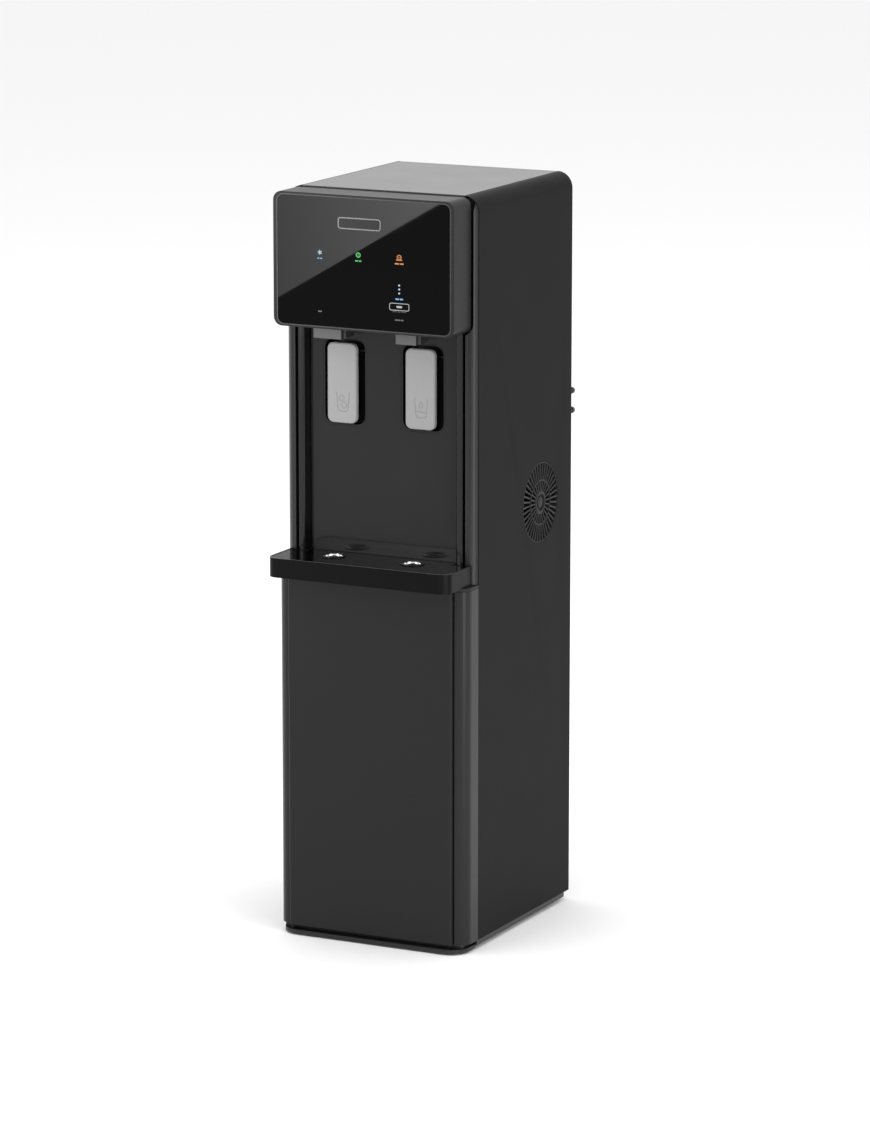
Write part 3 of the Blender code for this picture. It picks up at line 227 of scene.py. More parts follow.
FINISH = {
    "cabinet": sheet_metal("cabinet_coat", grey(0.005, 0.02), grey(0.010), 0.38, specular=0.035),
    # black band along the top cover's rear: painted shade of the rear edge
    "top": sheet_metal("top_coat", grey(0.040, 0.02), grey(0.05), 0.24, specular=0.50,
                       black_from=TOP_PAINTED_SHADE_FRONT),
    "rear": sheet_metal("rear_coat", grey(0.013, 0.02), grey(0.035), 0.48, specular=0.15),
    "frame": moulded("frame_black", grey(0.006), grey(0.018), 0.26, specular=0.28),
    "trim": polished("trim_black", grey(0.004), 0.12, specular=0.35),
    "niche": polished("niche_black", grey(0.012), 0.08, specular=0.22),
    "head": moulded("head_graphite", grey(0.013, 0.02), grey(0.020), 0.30, specular=0.09),
    "bezel": moulded("bezel_line", grey(0.030), grey(0.05), 0.30, specular=0.30),
    # painted highlight: light grey for the strip along the tray's front edge
    "painted_highlight": moulded("painted_highlight_grey", grey(0.14), grey(0.20), 0.28),
    "door": moulded("door_graphite", grey(0.010, 0.02), grey(0.016), 0.30, specular=0.16),
    "column": moulded("column_graphite", grey(0.008, 0.02), grey(0.016), 0.22, specular=0.22),
    "glass": polished("display_black", grey(0.0006), 0.012, specular=0.08, smudges=0.01),
    "tray": moulded("tray_black", grey(0.002), grey(0.008), 0.24, specular=0.06),
    "tray_top": polished("tray_gloss", grey(0.0015), 0.16, specular=0.03),
    "lever": moulded("lever_grey", grey(0.245), grey(0.31), 0.42, spread=0.04, depth=0.05,
                     black_from=LEVER_CAP_REAR),
    # lever icons: raised relief, coloured darker than the lever as painted shade of the relief
    "relief_painted_shade": moulded("lever_mark_painted_shade", grey(0.15), grey(0.20), 0.50, depth=0.05),
    "spout": moulded("spout_grey", grey(0.065), grey(0.09), 0.36, specular=0.3),
    "black": moulded("matt_black", grey(0.004), grey(0.02), 0.55, specular=0.2),
    "base": moulded("base_black", grey(0.005), grey(0.03), 0.40, specular=0.3),
    "fitting": moulded("fitting_black", grey(0.012), grey(0.05), 0.45, specular=0.3),
    "rubber": moulded("foot_rubber", grey(0.012), grey(0.03), 0.80, grain=500.0, depth=0.2),
    "chrome": metal("drain_chrome", grey(0.78), 0.08),
    "rim": polished("drain_rim_black", grey(0.006), 0.16, specular=0.3),
    "grille": moulded("grille_black", grey(0.008), grey(0.02), 0.32, specular=0.12),
    "screw": metal("screw_steel", grey(0.45), 0.26, grain=900.0),
    "brass": metal("contact_brass", (0.55, 0.42, 0.20, 1.0), 0.28, grain=900.0),
    "steel": metal("tank_steel", grey(0.62), 0.24, (1, 1, 30), 160.0),
    "plate": metal("badge_plate", grey(0.16), 0.34, (1, 40, 40), 90.0),
    "plate_dark": metal("badge_field", grey(0.03), 0.36, (1, 40, 40), 90.0),
    "zinc": metal("coated_shelf", grey(0.34), 0.42, grain=60.0),
    "white": moulded("filter_white", grey(0.72), grey(0.80), 0.35),
    "foam": moulded("tank_foam", (0.66, 0.64, 0.58, 1.0), grey(0.7), 0.85, grain=220.0, depth=0.5),
    "board": moulded("board_green", (0.02, 0.11, 0.05, 1.0), (0.05, 0.2, 0.1, 1.0), 0.4),
    "enamel": sheet_metal("black_enamel", grey(0.010), grey(0.04), 0.22),
    "lit_blue": lamp("mark_blue", (0.20, 0.55, 1.0, 1.0), 0.75),
    "lit_ice": lamp("mark_ice", (0.55, 0.80, 1.0, 1.0), 0.80),
    "lit_green": lamp("mark_green", (0.04, 0.72, 0.10, 1.0), 0.75),
    "lit_amber": lamp("mark_amber", (1.0, 0.30, 0.03, 1.0), 0.70),
    "lit_white": lamp("mark_white", (0.85, 0.88, 0.92, 1.0), 0.60),
    "lit_faint": lamp("mark_faint", (0.6, 0.6, 0.62, 1.0), 0.18),
}

NODE_FINISH = {
    "cabinet": ("side_panel_left", "side_panel_right"),
    "top": ("top_cover",),
    "rear": ("rear_panel", "rear_header"),
    "frame": ("front_frame",),
    "trim": ("niche_trim_left", "niche_trim_right"),
    "niche": ("niche_back_panel",),
    "head": ("head_shell",),
    "door": ("lower_door",),
    "column": ("column_left", "column_right"),
    "glass": ("glass_panel",),
    "tray": ("drip_tray",),
    "tray_top": ("tray_cover",),
    "lever": ("lever_left", "lever_right"),
    "spout": ("spout_left", "spout_right"),
    "black": ("lever_pocket_left", "lever_pocket_right", "nozzle_body_left", "nozzle_body_right",
              "fan_ring", "fan_rotor", "chassis_front", "head_back_plate", "head_neck",
              "tray_shelf"),
    "base": ("base_plinth",),
    "fitting": ("water_inlet", "water_outlet", "power_inlet", "rocker_frame", "rocker_1", "rocker_2",
                "hot_drain_plug", "door_catch", "lever_switch_left", "lever_switch_right"),
    "rubber": ("foot_front_left", "foot_front_right", "foot_rear_left", "foot_rear_right"),
    "chrome": ("drain_ring_left", "drain_ring_right"),
    "steel": ("hot_tank",),
    "plate": ("badge_plate",),
    "zinc": ("mid_shelf",),
    "white": ("filter_manifold", "filter_1", "filter_2", "filter_3", "power_case"),
    "foam": ("cold_tank",),
    "board": ("display_board",),
    "enamel": ("compressor", "condenser_coil"),
}

EDGE_ROUNDING = {
    "lower_door": 0.8, "drip_tray": 0.9, "tray_cover": 0.3, "head_shell": 1.6, "glass_panel": 0.4,
    "top_cover": 0.5, "niche_trim_left": 0.5, "niche_trim_right": 0.5, "lever_left": 0.5,
    "lever_right": 0.5, "spout_left": 0.6, "spout_right": 0.6, "side_panel_left": 0.3,
    "side_panel_right": 0.3, "column_left": 0.5, "column_right": 0.5, "base_plinth": 0.5,
    "badge_plate": 0.15, "rear_panel": 0.3, "nozzle_body_left": 0.6, "nozzle_body_right": 0.6,
}


def dress_nodes():
    """Each CAD node gets its finish, and the edges that show get a small rounding."""
    for finish, names in NODE_FINISH.items():
        for name in names:
            mesh = NODES[name].data
            mesh.materials.clear()
            mesh.materials.append(FINISH[finish])
    for name, width in EDGE_ROUNDING.items():
        bevel = NODES[name].modifiers.new("edge_rounding", "BEVEL")
        bevel.width = width * MM
        bevel.segments = 2
        bevel.limit_method = "ANGLE"
        bevel.angle_limit = math.radians(50)
        bevel.harden_normals = False


# ------------------------------------------------------------------ piece helpers
def piece(name, bm, finish, body):
    bmesh.ops.recalc_face_normals(bm, faces=bm.faces)
    mesh = bpy.data.meshes.new(name)
    bm.to_mesh(mesh)
    bm.free()
    made = bpy.data.objects.new(name, mesh)
    bpy.context.scene.collection.objects.link(made)
    mesh.materials.append(FINISH[finish])
    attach(made, body)
    return made


def walls(bm, first, second):
    """Faces between two closed loops with the same number of points."""
    for i in range(len(first)):
        j = (i + 1) % len(first)
        bm.faces.new((first[i], first[j], second[j], second[i]))


def prism_front(bm, outline, front, back):
    """Closed solid between two y levels; outline holds (x, z) points."""
    near = [bm.verts.new((x, front, z)) for x, z in outline]
    far = [bm.verts.new((x, back, z)) for x, z in outline]
    bm.faces.new(near)
    bm.faces.new(far)
    walls(bm, near, far)


def round_rect(cx, cz, half_w, half_h, radius, steps=6):
    points = []
    for number, (sx, sz) in enumerate(((1, 1), (-1, 1), (-1, -1), (1, -1))):
        for i in range(steps + 1):
            angle = math.pi / 2 * (number + i / steps)
            x = cx + sx * (half_w - radius) + radius * math.cos(angle)
            z = cz + sz * (half_h - radius) + radius * math.sin(angle)
            points.append((x, z))
    return points


def ring_front(bm, outer, inner, front, back):
    """Closed frame between two outlines with the same number of points."""
    loops = []
    for outline in (outer, inner):
        for level in (front, back):
            loops.append([bm.verts.new((x, level, z)) for x, z in outline])
    out_front, out_back, in_front, in_back = loops
    count = len(outer)
    for i in range(count):
        j = (i + 1) % count
        bm.faces.new((out_front[i], out_front[j], in_front[j], in_front[i]))
        bm.faces.new((out_back[i], in_back[i], in_back[j], out_back[j]))
        bm.faces.new((out_front[i], out_back[i], out_back[j], out_front[j]))
        bm.faces.new((in_front[i], in_front[j], in_back[j], in_back[i]))


def circle(cx, cz, radius, count=28):
    turn = 2 * math.pi / count
    return [(cx + radius * math.cos(i * turn), cz + radius * math.sin(i * turn)) for i in range(count)]


def stroke(points, width):
    """Outline of a thin line along (x, z) points, with square ends."""
    left, right = [], []
    for i, point in enumerate(points):
        before = Vector(points[max(i - 1, 0)])
        after = Vector(points[min(i + 1, len(points) - 1)])
        run = (after - before).normalized()
        side = Vector((-run.y, run.x)) * width / 2
        left.append(tuple(Vector(point) + side))
        right.append(tuple(Vector(point) - side))
    return left + right[::-1]


# ------------------------------------------------------------------ display
GLASS_LOW, GLASS_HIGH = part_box("glass_panel")
GLASS_FRONT = GLASS_LOW.y
MARK_PROUD = 0.12 * MM
MARK_SUNK = 0.25 * MM
LINE = 0.9 * MM
ICON_Z = GLASS_LOW.z + 107.6 * MM
LABEL_Z = ICON_Z - 8.6 * MM
ICON_R = 3.6 * MM
COLUMN_X = {"ice": -70.3 * MM, "pure": -7.9 * MM, "heat": 58.0 * MM}
DOT_Z = (67.8 * MM, 62.1 * MM, 56.3 * MM)
DOT_R = 1.5 * MM
COLD_LABEL_Z = 47.9 * MM
BUTTON_Z = 36.7 * MM
BUTTON_HALF = (16.0 * MM, 5.4 * MM)
NOTE_Z = (29.5 * MM, 17.6 * MM)
LEFT_NOTE_Z = 21.9 * MM


def glass_z(height):
    return GLASS_LOW.z + height


def mark(name, outlines, finish, rings=()):
    """Thin raised print on the glass: filled outlines, and rings given as outer and inner outlines."""
    bm = bmesh.new()
    front, back = GLASS_FRONT - MARK_PROUD, GLASS_FRONT + MARK_SUNK
    for outline in outlines:
        prism_front(bm, outline, front, back)
    for outer, inner in rings:
        ring_front(bm, outer, inner, front, back)
    return piece(name, bm, finish, "cabinet")


def dash(x, z, half_w, half_h):
    return round_rect(x, z, half_w, half_h, half_h * 0.8, 3)


def dashes(x, z, widths, half_h):
    """A row of plain dashes centred on x, where a label would be."""
    space = 1.0 * MM
    run = sum(widths) + space * (len(widths) - 1)
    start = x - run / 2
    made = []
    for width in widths:
        made.append(dash(start + width / 2, z, width / 2, half_h))
        start += width + space
    return made


def build_ice_mark():
    """Six-armed crystal: three crossing bars with a small hexagon at the middle."""
    x = COLUMN_X["ice"]
    outlines = [circle(x, ICON_Z, 2.1 * MM, 6)]
    for i in range(6):
        turn = Matrix.Rotation(math.radians(30 + 60 * i), 2)
        near = turn @ Vector((2.3 * MM, 0))
        far = turn @ Vector((ICON_R, 0))
        line = [(x + near.x, ICON_Z + near.y), (x + far.x, ICON_Z + far.y)]
        outlines.append(stroke(line, 1.2 * MM))
    mark("mark_ice_crystal", outlines, "lit_ice")
    mark("mark_ice_label", dashes(x, LABEL_Z, (3.4 * MM, 3.4 * MM), 0.9 * MM), "lit_blue")


def build_pure_mark():
    x = COLUMN_X["pure"]
    outer, inner = circle(x, ICON_Z, ICON_R + 0.3 * MM), circle(x, ICON_Z, ICON_R - 1.3 * MM)
    mark("mark_pure_ring", [circle(x, ICON_Z, 0.9 * MM, 12)], "lit_green", [(outer, inner)])
    mark("mark_pure_label", dashes(x, LABEL_Z, (5.2 * MM, 3.8 * MM), 1.0 * MM), "lit_green")


def build_heat_mark():
    """Round body on a flat foot, as a kettle."""
    x = COLUMN_X["heat"]
    outer = circle(x, ICON_Z + 0.6 * MM, ICON_R + 0.2 * MM)
    inner = circle(x, ICON_Z + 0.6 * MM, ICON_R - 1.1 * MM)
    foot = dash(x, ICON_Z - 3.2 * MM, 4.9 * MM, 0.8 * MM)
    core = dash(x, ICON_Z + 0.6 * MM, 1.0 * MM, 0.7 * MM)
    mark("mark_heat_body", [foot, core], "lit_amber", [(outer, inner)])
    mark("mark_heat_label", dashes(x, LABEL_Z, (7.0 * MM, 6.4 * MM), 1.1 * MM), "lit_amber")


def build_cold_marks():
    x = COLUMN_X["heat"]
    mark("mark_cold_dots", [circle(x, glass_z(z), DOT_R, 14) for z in DOT_Z], "lit_ice")
    mark("mark_cold_label", dashes(x, glass_z(COLD_LABEL_Z), (6.0 * MM, 5.4 * MM), 1.2 * MM), "lit_blue")
    half_w, half_h = BUTTON_HALF
    z = glass_z(BUTTON_Z)
    outer = round_rect(x, z, half_w, half_h, 2.8 * MM)
    inner = round_rect(x, z, half_w - LINE, half_h - LINE, 2.0 * MM)
    mark("mark_button_frame", dashes(x, z, (9.0 * MM,), 1.4 * MM), "lit_white", [(outer, inner)])
    note = dashes(x, glass_z(NOTE_Z[0]), (7.0 * MM, 5.0 * MM, 8.0 * MM), 0.3 * MM)
    mark("mark_button_note", note, "lit_faint")
    mark("mark_lower_note", dashes(x, glass_z(NOTE_Z[1]), (8.0 * MM, 5.0 * MM), 0.9 * MM), "lit_faint")
    left = dashes(COLUMN_X["ice"], glass_z(LEFT_NOTE_Z), (6.0 * MM,), 0.9 * MM)
    mark("mark_left_note", left, "lit_faint")


def build_badge():
    """Plain bright frame round a darker brushed field, with no mark on it."""
    low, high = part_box("badge_plate")
    x, z = (low.x + high.x) / 2, (low.z + high.z) / 2
    half_w, half_h = (high.x - low.x) / 2, (high.z - low.z) / 2
    edge, radius = 1.5 * MM, 4.2 * MM
    bm = bmesh.new()
    outer = round_rect(x, z, half_w, half_h, radius)
    inner = round_rect(x, z, half_w - edge, half_h - edge, radius - edge)
    ring_front(bm, outer, inner, low.y, high.y)
    frame_piece = piece("badge_frame", bm, "plate", "cabinet")
    bm = bmesh.new()
    gap = 0.05 * MM
    field = round_rect(x, z, half_w - edge - gap, half_h - edge - gap, radius - edge)
    prism_front(bm, field, low.y + 0.2 * MM, high.y)
    piece("badge_field", bm, "plate_dark", "cabinet")
    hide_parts("badge_plate")


def build_bezel():
    """Fine bright line in the joint between the glass and its shell."""
    x, z = (GLASS_LOW.x + GLASS_HIGH.x) / 2, (GLASS_LOW.z + GLASS_HIGH.z) / 2
    half_w, half_h = (GLASS_HIGH.x - GLASS_LOW.x) / 2, (GLASS_HIGH.z - GLASS_LOW.z) / 2
    inside, outside, radius = 0.5 * MM, 1.1 * MM, 10 * MM
    bm = bmesh.new()
    outer = round_rect(x, z, half_w + outside, half_h + outside, radius + outside, 10)
    inner = round_rect(x, z, half_w - inside, half_h - inside, radius - inside, 10)
    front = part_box("head_shell")[0].y
    ring_front(bm, outer, inner, front - 0.15 * MM, front + 0.3 * MM)
    made = piece("glass_bezel", bm, "bezel", "cabinet")
    rounding = made.modifiers.new("rounding", "BEVEL")
    rounding.width = 0.14 * MM
    rounding.segments = 2


# ------------------------------------------------------------------ lever marks
LEVER_MARK_LINE = 0.9 * MM
CUP_HALF_TOP = 10.6 * MM
CUP_HALF_BOTTOM = 8.2 * MM
CUP_HEIGHT = 28 * MM
CUP_BASE = 17.6 * MM
LEVER_MARK_PROUD = 0.25 * MM
LEVER_MARK_SUNK = 0.3 * MM
WAVE_BASE = 26.2 * MM
WAVE_HALF_W = 7.6 * MM
WAVE_RISE = 0.9 * MM
WAVE_STEPS = 12


def lever_mark(side, marks):
    """Raised outline of a cup and what is in it, on the lower part of a lever's face, coloured darker than
    the lever as painted shade of its relief.
    """
    low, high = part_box("lever_" + side)
    centre = (low.x + high.x) / 2
    floor_z = low.z + CUP_BASE
    bm = bmesh.new()
    front, back = low.y - LEVER_MARK_PROUD, low.y + LEVER_MARK_SUNK
    top, bottom, corner = floor_z + CUP_HEIGHT, floor_z, 3 * MM
    wall = [(-CUP_HALF_TOP, top), (-CUP_HALF_BOTTOM, bottom + corner), (-CUP_HALF_BOTTOM + corner, bottom),
            (CUP_HALF_BOTTOM - corner, bottom), (CUP_HALF_BOTTOM, bottom + corner), (CUP_HALF_TOP, top)]
    prism_front(bm, stroke([(centre + x, z) for x, z in wall], LEVER_MARK_LINE), front, back)
    for kind, x, z, size in marks:
        cx, cz = centre + x * MM, floor_z + z * MM
        outer, inner = kind(cx, cz, size * MM), kind(cx, cz, size * MM - LEVER_MARK_LINE)
        ring_front(bm, outer, inner, front, back)
    piece("lever_mark_" + side, bm, "relief_painted_shade", "lever_" + side)


def tilted_cube(cx, cz, half):
    """Rounded square turned on its corner, as an ice cube."""
    turn = Matrix.Rotation(math.radians(38), 2)
    points = []
    for x, z in round_rect(0, 0, half, half, half * 0.35, 4):
        point = turn @ Vector((x, z))
        points.append((cx + point.x, cz + point.y))
    return points


def drop(cx, cz, radius):
    """Round below, with its sides drawn up to a point."""
    points = []
    for i in range(25):
        angle = math.radians(-220 + 260 * i / 24)
        points.append((cx + radius * math.cos(angle), cz + radius * math.sin(angle)))
    points.append((cx, cz + radius * 1.9))
    return points


def wave_line(bm, centre, z, front, back):
    """One wave across the cup, as a water level."""
    points = []
    for i in range(WAVE_STEPS + 1):
        share = i / WAVE_STEPS
        x = WAVE_HALF_W * (2 * share - 1)
        points.append((centre + x, z + WAVE_RISE * math.sin(share * 2 * math.pi)))
    prism_front(bm, stroke(points, LEVER_MARK_LINE), front, back)


def build_lever_marks():
    lever_mark("left", ((tilted_cube, -2.2, 19.5, 4.0), (tilted_cube, 1.6, 9.6, 4.4)))
    lever_mark("right", ((drop, 0.0, 17.5, 3.4),))
    low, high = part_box("lever_right")
    bm = bmesh.new()
    front, back = low.y - LEVER_MARK_PROUD, low.y + LEVER_MARK_SUNK
    wave_line(bm, (low.x + high.x) / 2, low.z + WAVE_BASE, front, back)
    piece("lever_wave_right", bm, "relief_painted_shade", "lever_right")


# ------------------------------------------------------------------ turned detail
def turned(bm, centre, axis, profile, count=48):
    """Closed ring turned round an axis through centre; profile holds (radius, distance along the axis)."""
    turn = Vector((0, 0, 1)).rotation_difference(Vector(axis)).to_matrix().to_4x4()
    place = Matrix.Translation(centre) @ turn
    loops = []
    for radius, along in profile:
        loop = []
        for i in range(count):
            angle = 2 * math.pi * i / count
            point = place @ Vector((radius * math.cos(angle), radius * math.sin(angle), along))
            loop.append(bm.verts.new(point))
        loops.append(loop)
    for first, second in zip(loops, loops[1:] + loops[:1]):
        walls(bm, first, second)


def half_round(inner, outer, low, high, steps=6):
    """Ring section: flat below, rounded above."""
    middle, half = (inner + outer) / 2, (outer - inner) / 2
    points = [(outer, low)]
    for i in range(steps + 1):
        angle = math.pi * i / steps
        points.append((middle + half * math.cos(angle), high - half * 0.5 + half * 0.5 * math.sin(angle)))
    points.append((inner, low))
    return points


def smooth_faces(made, angle=40):
    made.data.shade_smooth()
    made.data.set_sharp_from_angle(angle=math.radians(angle))


DRAIN_RIM_WIDTH = 1.1 * MM
DRAIN_SLEEVE = (11.8 * MM, 12.85 * MM)


def build_drains():
    """Black drain ring with a raised outer rim, and a bright funnel down its hole."""
    for side in ("left", "right"):
        low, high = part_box("drain_ring_" + side)
        centre = Vector(((low.x + high.x) / 2, (low.y + high.y) / 2, low.z))
        radius = (high.x - low.x) / 2
        height = high.z - low.z
        inner = DRAIN_SLEEVE[1]
        flat = height * 0.45
        bm = bmesh.new()
        profile = [(radius, 0), (radius, height * 0.8), (radius - DRAIN_RIM_WIDTH * 0.3, height),
                   (radius - DRAIN_RIM_WIDTH, height), (radius - DRAIN_RIM_WIDTH * 1.3, flat),
                   (inner + 0.6 * MM, flat), (inner, flat * 0.6), (inner, 0)]
        turned(bm, centre, (0, 0, 1), profile)
        ring = piece("drain_rim_" + side, bm, "rim", "tray_lid")
        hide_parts("drain_ring_" + side)
        smooth_faces(ring, 30)
        bm = bmesh.new()
        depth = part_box("tray_cover")[1].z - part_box("tray_cover")[0].z
        throat, mouth = DRAIN_SLEEVE
        sleeve = [(mouth, -depth), (mouth, flat * 0.8), (mouth - 0.4 * MM, flat),
                  (throat, -2.4 * MM), (throat, -depth)]
        turned(bm, centre, (0, 0, 1), sleeve)
        smooth_faces(piece("drain_sleeve_" + side, bm, "chrome", "tray_lid"), 50)


GRILLE_RIM = (58.6 * MM, 60.4 * MM)
GRILLE_MIDDLE = (32.0 * MM, 34.4 * MM)
GRILLE_HUB = (11.8 * MM, 18.2 * MM)
GRILLE_OUTER_BARS = 40
GRILLE_INNER_BARS = 24


def grille_bars(bm, centre, count, start, stop, face, depth, near_w, far_w):
    """Radial bars with a ridged face, wider towards the rim."""
    slope = -0.5 * MM
    section = ((-1, -depth), (-1, slope), (-0.45, 0.0), (0.45, 0.0), (1, slope), (1, -depth))
    for number in range(count):
        angle = 2 * math.pi * number / count
        run = Vector((0, math.cos(angle), math.sin(angle)))
        across = Vector((0, -math.sin(angle), math.cos(angle)))
        sections = []
        for radius, half in ((start, near_w / 2), (stop, far_w / 2)):
            middle = centre + run * radius
            corners = []
            for side, level in section:
                corners.append(bm.verts.new(middle + across * side * half + Vector((face + level, 0, 0))))
            sections.append(corners)
        near, far = sections
        bm.faces.new(near)
        bm.faces.new(far)
        walls(bm, near, far)


def build_grille():
    """Three rings with two rows of ridged bars between them, and a dished cap in the middle."""
    low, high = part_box("fan_grille")
    centre = Vector((high.x, (low.y + high.y) / 2, (low.z + high.z) / 2))
    depth = high.x - low.x
    overlap = 0.4 * MM
    bm = bmesh.new()
    for (inner, outer), top in ((GRILLE_RIM, 0.0), (GRILLE_MIDDLE, -0.1 * MM), (GRILLE_HUB, 0.0)):
        turned(bm, centre, (1, 0, 0), half_round(inner, outer, -depth, top), 96)
    outer_run = (GRILLE_MIDDLE[1] - overlap, GRILLE_RIM[0] + overlap)
    grille_bars(bm, centre, GRILLE_OUTER_BARS, *outer_run, -0.7 * MM, depth * 0.6, 1.9 * MM, 3.1 * MM)
    inner_run = (GRILLE_HUB[1] - overlap, GRILLE_MIDDLE[0] + overlap)
    grille_bars(bm, centre, GRILLE_INNER_BARS, *inner_run, -0.6 * MM, depth * 0.6, 1.8 * MM, 3.0 * MM)
    made = piece("grille_face", bm, "grille", "cabinet")
    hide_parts("fan_grille")
    smooth_faces(made, 50)
    bm = bmesh.new()
    floor, disc = GRILLE_HUB[0] + overlap, GRILLE_HUB[0] - 2.6 * MM
    low_face = -2.6 * MM
    rings = [(floor, -depth), (floor, low_face), (disc, low_face), (disc * 0.9, -0.9 * MM),
             (disc * 0.4, -0.5 * MM)]
    turned_cap(bm, centre, rings)
    smooth_faces(piece("grille_hub", bm, "grille", "cabinet"), 50)


def turned_cap(bm, centre, profile, count=48):
    """Dished disc facing +x, closed behind."""
    loops = []
    for radius, along in profile:
        loop = []
        for i in range(count):
            angle = 2 * math.pi * i / count
            point = Vector((along, radius * math.cos(angle), radius * math.sin(angle)))
            loop.append(bm.verts.new(centre + point))
        loops.append(loop)
    for first, second in zip(loops, loops[1:]):
        walls(bm, first, second)
    bm.faces.new(loops[-1])
    bm.faces.new(loops[0])


SPOUT_BLACK_STRIP = (0.5 * MM, 7.5 * MM)
BLACK_STRIP_DEPTH = 0.8 * MM
BLACK_STRIP_SKIN = 0.1 * MM
BLACK_STRIP_PROUD = 0.08 * MM


def box_piece(bm, low, high):
    """Closed box between two corners."""
    made = bmesh.ops.create_cube(bm, size=1.0)["verts"]
    size = Vector(high) - Vector(low)
    place = Matrix.Translation((Vector(low) + Vector(high)) / 2) @ Matrix.Diagonal((*size, 1.0))
    bmesh.ops.transform(bm, matrix=place, verts=made)


def build_spout_black_strips():
    """Black strip set into each spout's right side, just behind its face."""
    for side in ("left", "right"):
        low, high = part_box("spout_" + side)
        near, far = (low.y + offset for offset in SPOUT_BLACK_STRIP)
        bm = bmesh.new()
        inner_corner = (high.x - BLACK_STRIP_DEPTH, near, low.z + BLACK_STRIP_SKIN)
        box_piece(bm, inner_corner, (high.x + BLACK_STRIP_PROUD, far, high.z - BLACK_STRIP_SKIN))
        bmesh.ops.bevel(bm, geom=list(bm.edges), offset=0.06 * MM, segments=2, affect="EDGES")
        piece("spout_black_strip_" + side, bm, "black", "cabinet")


TRAY_FRONT_R = 16.5 * MM
TRAY_HIGHLIGHT_INSETS = (0.35 * MM, 1.15 * MM)


def build_tray_painted_highlight():
    """Painted highlight: a fine light-grey strip along the tray's rounded front edge and its two corners."""
    low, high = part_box("drip_tray")
    loops = []
    for inset in TRAY_HIGHLIGHT_INSETS:
        radius = TRAY_FRONT_R - inset
        points = []
        for centre_x, start in ((low.x + TRAY_FRONT_R, 180), (high.x - TRAY_FRONT_R, 270)):
            for i in range(11):
                angle = math.radians(start + 9 * i)
                y = low.y + TRAY_FRONT_R + radius * math.sin(angle)
                points.append((centre_x + radius * math.cos(angle), y))
        loops.append(points)
    outline = loops[0] + loops[1][::-1]
    bm = bmesh.new()
    bottom = [bm.verts.new((x, y, high.z - 0.5 * MM)) for x, y in outline]
    top = [bm.verts.new((x, y, high.z + 0.08 * MM)) for x, y in outline]
    bm.faces.new(bottom)
    bm.faces.new(top)
    walls(bm, bottom, top)
    piece("tray_painted_highlight", bm, "painted_highlight", "tray")


# ------------------------------------------------------------------ rear detail
SCREW_R = 3.2 * MM
SCREW_HEAD = 0.9 * MM
SCREWS_PER_SIDE = 5
SCREW_INSET = 9 * MM
REAR_PLATE_PLACE = (70 * MM, 930 * MM)
REAR_PLATE_HALF = (38 * MM, 24 * MM)
REAR_PLATE_THICK = 0.5 * MM


def screw(name, place, direction, body):
    """Pan-head screw with a cross recess, its head's back at place."""
    bm = bmesh.new()
    count = 24
    rings = []
    for radius, height in ((1.0, 0.0), (1.0, 0.45), (0.82, 0.82), (0.5, 1.0)):
        ring = []
        for i in range(count):
            angle = 2 * math.pi * i / count
            x, y = SCREW_R * radius * math.cos(angle), SCREW_R * radius * math.sin(angle)
            ring.append(bm.verts.new((x, y, SCREW_HEAD * height)))
        rings.append(ring)
    for first, second in zip(rings, rings[1:]):
        walls(bm, first, second)
    bm.faces.new(rings[0][::-1])
    recess = cross_recess(bm, SCREW_R * 0.42, SCREW_R * 0.13, SCREW_HEAD, SCREW_HEAD * 0.45)
    bridge_to_ring(bm, rings[-1], recess)
    turn = Vector((0, 0, 1)).rotation_difference(Vector(direction)).to_matrix().to_4x4()
    bm.transform(Matrix.Translation(place) @ turn)
    return piece(name, bm, "screw", body)


def cross_recess(bm, arm, half, top, bottom):
    """Walls and floor of a cross-shaped pit; returns its rim."""
    outline = []
    for i in range(4):
        turn = Matrix.Rotation(math.pi / 2 * i, 2)
        for corner in ((arm, -half), (arm, half), (half, half)):
            outline.append(turn @ Vector(corner))
    rim = [bm.verts.new((p.x, p.y, top)) for p in outline]
    pit = [bm.verts.new((p.x, p.y, bottom)) for p in outline]
    walls(bm, rim, pit)
    bm.faces.new(pit)
    return rim


def bridge_to_ring(bm, ring, rim):
    edges = []
    for loop in (ring, rim):
        for i in range(len(loop)):
            edge = bm.edges.get((loop[i], loop[(i + 1) % len(loop)]))
            edges.append(edge or bm.edges.new((loop[i], loop[(i + 1) % len(loop)])))
    bmesh.ops.bridge_loops(bm, edges=edges)


def build_rear_detail():
    low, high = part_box("rear_panel")
    run = high.z - low.z - 2 * SCREW_INSET
    steps = SCREWS_PER_SIDE - 1
    heights = [low.z + SCREW_INSET + run * i / steps for i in range(SCREWS_PER_SIDE)]
    for sign, side in ((-1, "left"), (1, "right")):
        for number, z in enumerate(heights, 1):
            place = (sign * (high.x - SCREW_INSET), high.y, z)
            screw("rear_screw_%s_%d" % (side, number), place, (0, 1, 0), "cabinet")
    build_rear_plate(high.y)
    build_socket_contacts()


def build_rear_plate(level):
    """Blank metal data plate between two rivets."""
    centre, z = REAR_PLATE_PLACE
    half_w, half_h = REAR_PLATE_HALF
    face = level + REAR_PLATE_THICK
    bm = bmesh.new()
    prism_front(bm, round_rect(centre, z, half_w, half_h, 3 * MM), level, face)
    piece("rear_blank_plate", bm, "zinc", "cabinet")
    for sign, side in ((-1, "left"), (1, "right")):
        place = (centre + sign * (half_w - 5 * MM), face, z)
        screw("plate_screw_" + side, place, (0, 1, 0), "cabinet")


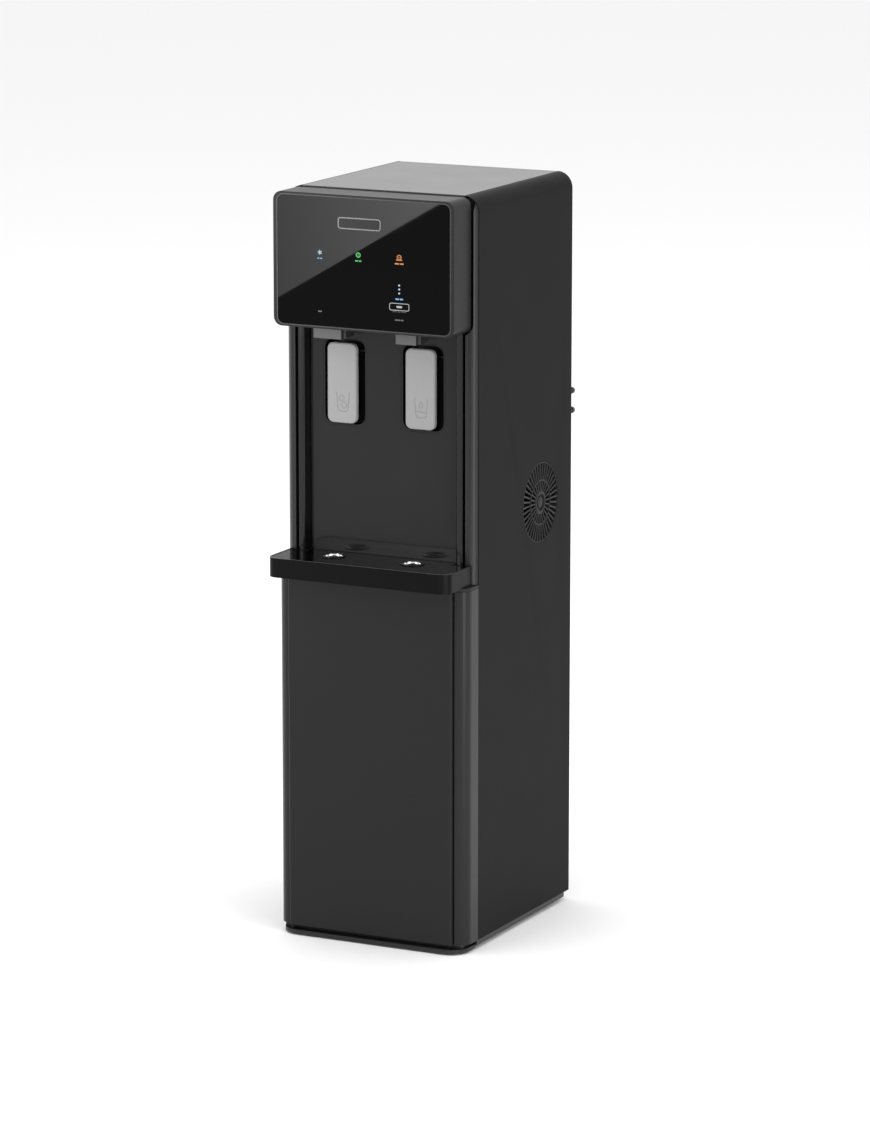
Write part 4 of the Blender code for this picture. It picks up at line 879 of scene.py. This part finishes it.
def build_socket_contacts():
    """Three flat blades in the power inlet."""
    low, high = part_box("power_inlet")
    x, z = (low.x + high.x) / 2, (low.z + high.z) / 2
    floor_y = low.y + 3 * MM
    for name, dx, dz in (("left", -7 * MM, -2.5 * MM), ("right", 7 * MM, -2.5 * MM), ("middle", 0, 3.5 * MM)):
        bm = bmesh.new()
        blade = round_rect(x + dx, z + dz, 1.0 * MM, 2.0 * MM, 0.3 * MM, 2)
        prism_front(bm, blade, floor_y - 0.5 * MM, high.y - 5 * MM)
        piece("power_contact_" + name, bm, "brass", "cabinet")


# ------------------------------------------------------------------ studio
def area_light(name, place, target, size, power, size_y=None):
    data = bpy.data.lights.new(name, "AREA")
    data.shape = "RECTANGLE"
    data.size = size
    data.size_y = size_y or size
    data.energy = power
    made = bpy.data.objects.new(name, data)
    made.location = place
    made.rotation_mode = "QUATERNION"
    made.rotation_quaternion = (Vector(target) - Vector(place)).to_track_quat("-Z", "Y")
    bpy.context.scene.collection.objects.link(made)
    return made


# Lights: the softbox at the front left is tilted, lights the front and shows in the display glass
SOFTBOX_PLACE = (-1.40, -2.5, 0.877)
SOFTBOX_SIZE = (1.00, 0.56)
SOFTBOX_TILT = math.radians(30)
SOFTBOX_POWER = 17.0
SOFTBOX_SPREAD = math.radians(62.6)
SIDE_BOX_PLACE = (1.90, -0.97, 0.95)
SIDE_BOX_SIZE = (1.20, 1.90)
SIDE_BOX_POWER = 20.0
KEY_PLACE = (-2.6, -3.6, 4.6)
KEY_POWER = 60.0
OVERHEAD_PLACE = (0, 0.5, 6.0)
OVERHEAD_POWER = 120.0


def build_softboxes():
    """A tilted upright light on the left, and a tall one on the right that rims the front corners."""
    width, height = SOFTBOX_SIZE
    made = area_light("softbox_left", SOFTBOX_PLACE, (0, 0, 0), width, SOFTBOX_POWER, height)
    upright = Matrix.Rotation(math.radians(90), 4, "X") @ Matrix.Rotation(SOFTBOX_TILT, 4, "Z")
    made.rotation_quaternion = upright.to_quaternion()
    made.data.spread = SOFTBOX_SPREAD
    target = (0, 0, SIDE_BOX_PLACE[2])
    area_light("softbox_right", SIDE_BOX_PLACE, target, SIDE_BOX_SIZE[0], SIDE_BOX_POWER, SIDE_BOX_SIZE[1])


def build_studio():
    bm = bmesh.new()
    bmesh.ops.create_grid(bm, x_segments=1, y_segments=1, size=FLOOR_SIZE / 2)
    mesh = bpy.data.meshes.new("floor")
    bm.to_mesh(mesh)
    bm.free()
    floor = bpy.data.objects.new("floor", mesh)
    floor.location = (0, 0, -FLOOR_DROP)
    made = Shader("floor_paper", 0.9, specular=0.1)
    made.set("Base Color", FLOOR_COLOUR)
    mesh.materials.append(made.material)
    bpy.context.scene.collection.objects.link(floor)
    world = bpy.data.worlds.new("studio")
    world.use_nodes = True
    world.node_tree.nodes["Background"].inputs["Color"].default_value = (1, 1, 1, 1)
    world.node_tree.nodes["Background"].inputs["Strength"].default_value = 1.0
    bpy.context.scene.world = world
    area_light("key", KEY_PLACE, (0, 0, 0.5), 4.0, KEY_POWER)
    area_light("overhead", OVERHEAD_PLACE, (0, 0, 0), 6.0, OVERHEAD_POWER)
    build_softboxes()
    bpy.context.scene.view_settings.view_transform = "Standard"


def build_camera():
    data = bpy.data.cameras.new("camera")
    data.lens = CAMERA_LENS
    data.sensor_width = SENSOR_WIDTH
    made = bpy.data.objects.new("camera", data)
    az, el = CAMERA_AZIMUTH, CAMERA_ELEVATION
    back = Vector((math.sin(az) * math.cos(el), -math.cos(az) * math.cos(el), math.sin(el)))
    made.location = CAMERA_PLACE
    made.rotation_mode = "QUATERNION"
    made.rotation_quaternion = (-back).to_track_quat("-Z", "Y")
    bpy.context.scene.collection.objects.link(made)
    bpy.context.scene.camera = made


build_camera()
build_studio()
dress_nodes()
build_ice_mark()
build_pure_mark()
build_heat_mark()
build_cold_marks()
build_badge()
build_bezel()
build_lever_marks()
build_drains()
build_grille()
build_spout_black_strips()
build_tray_painted_highlight()
build_rear_detail()
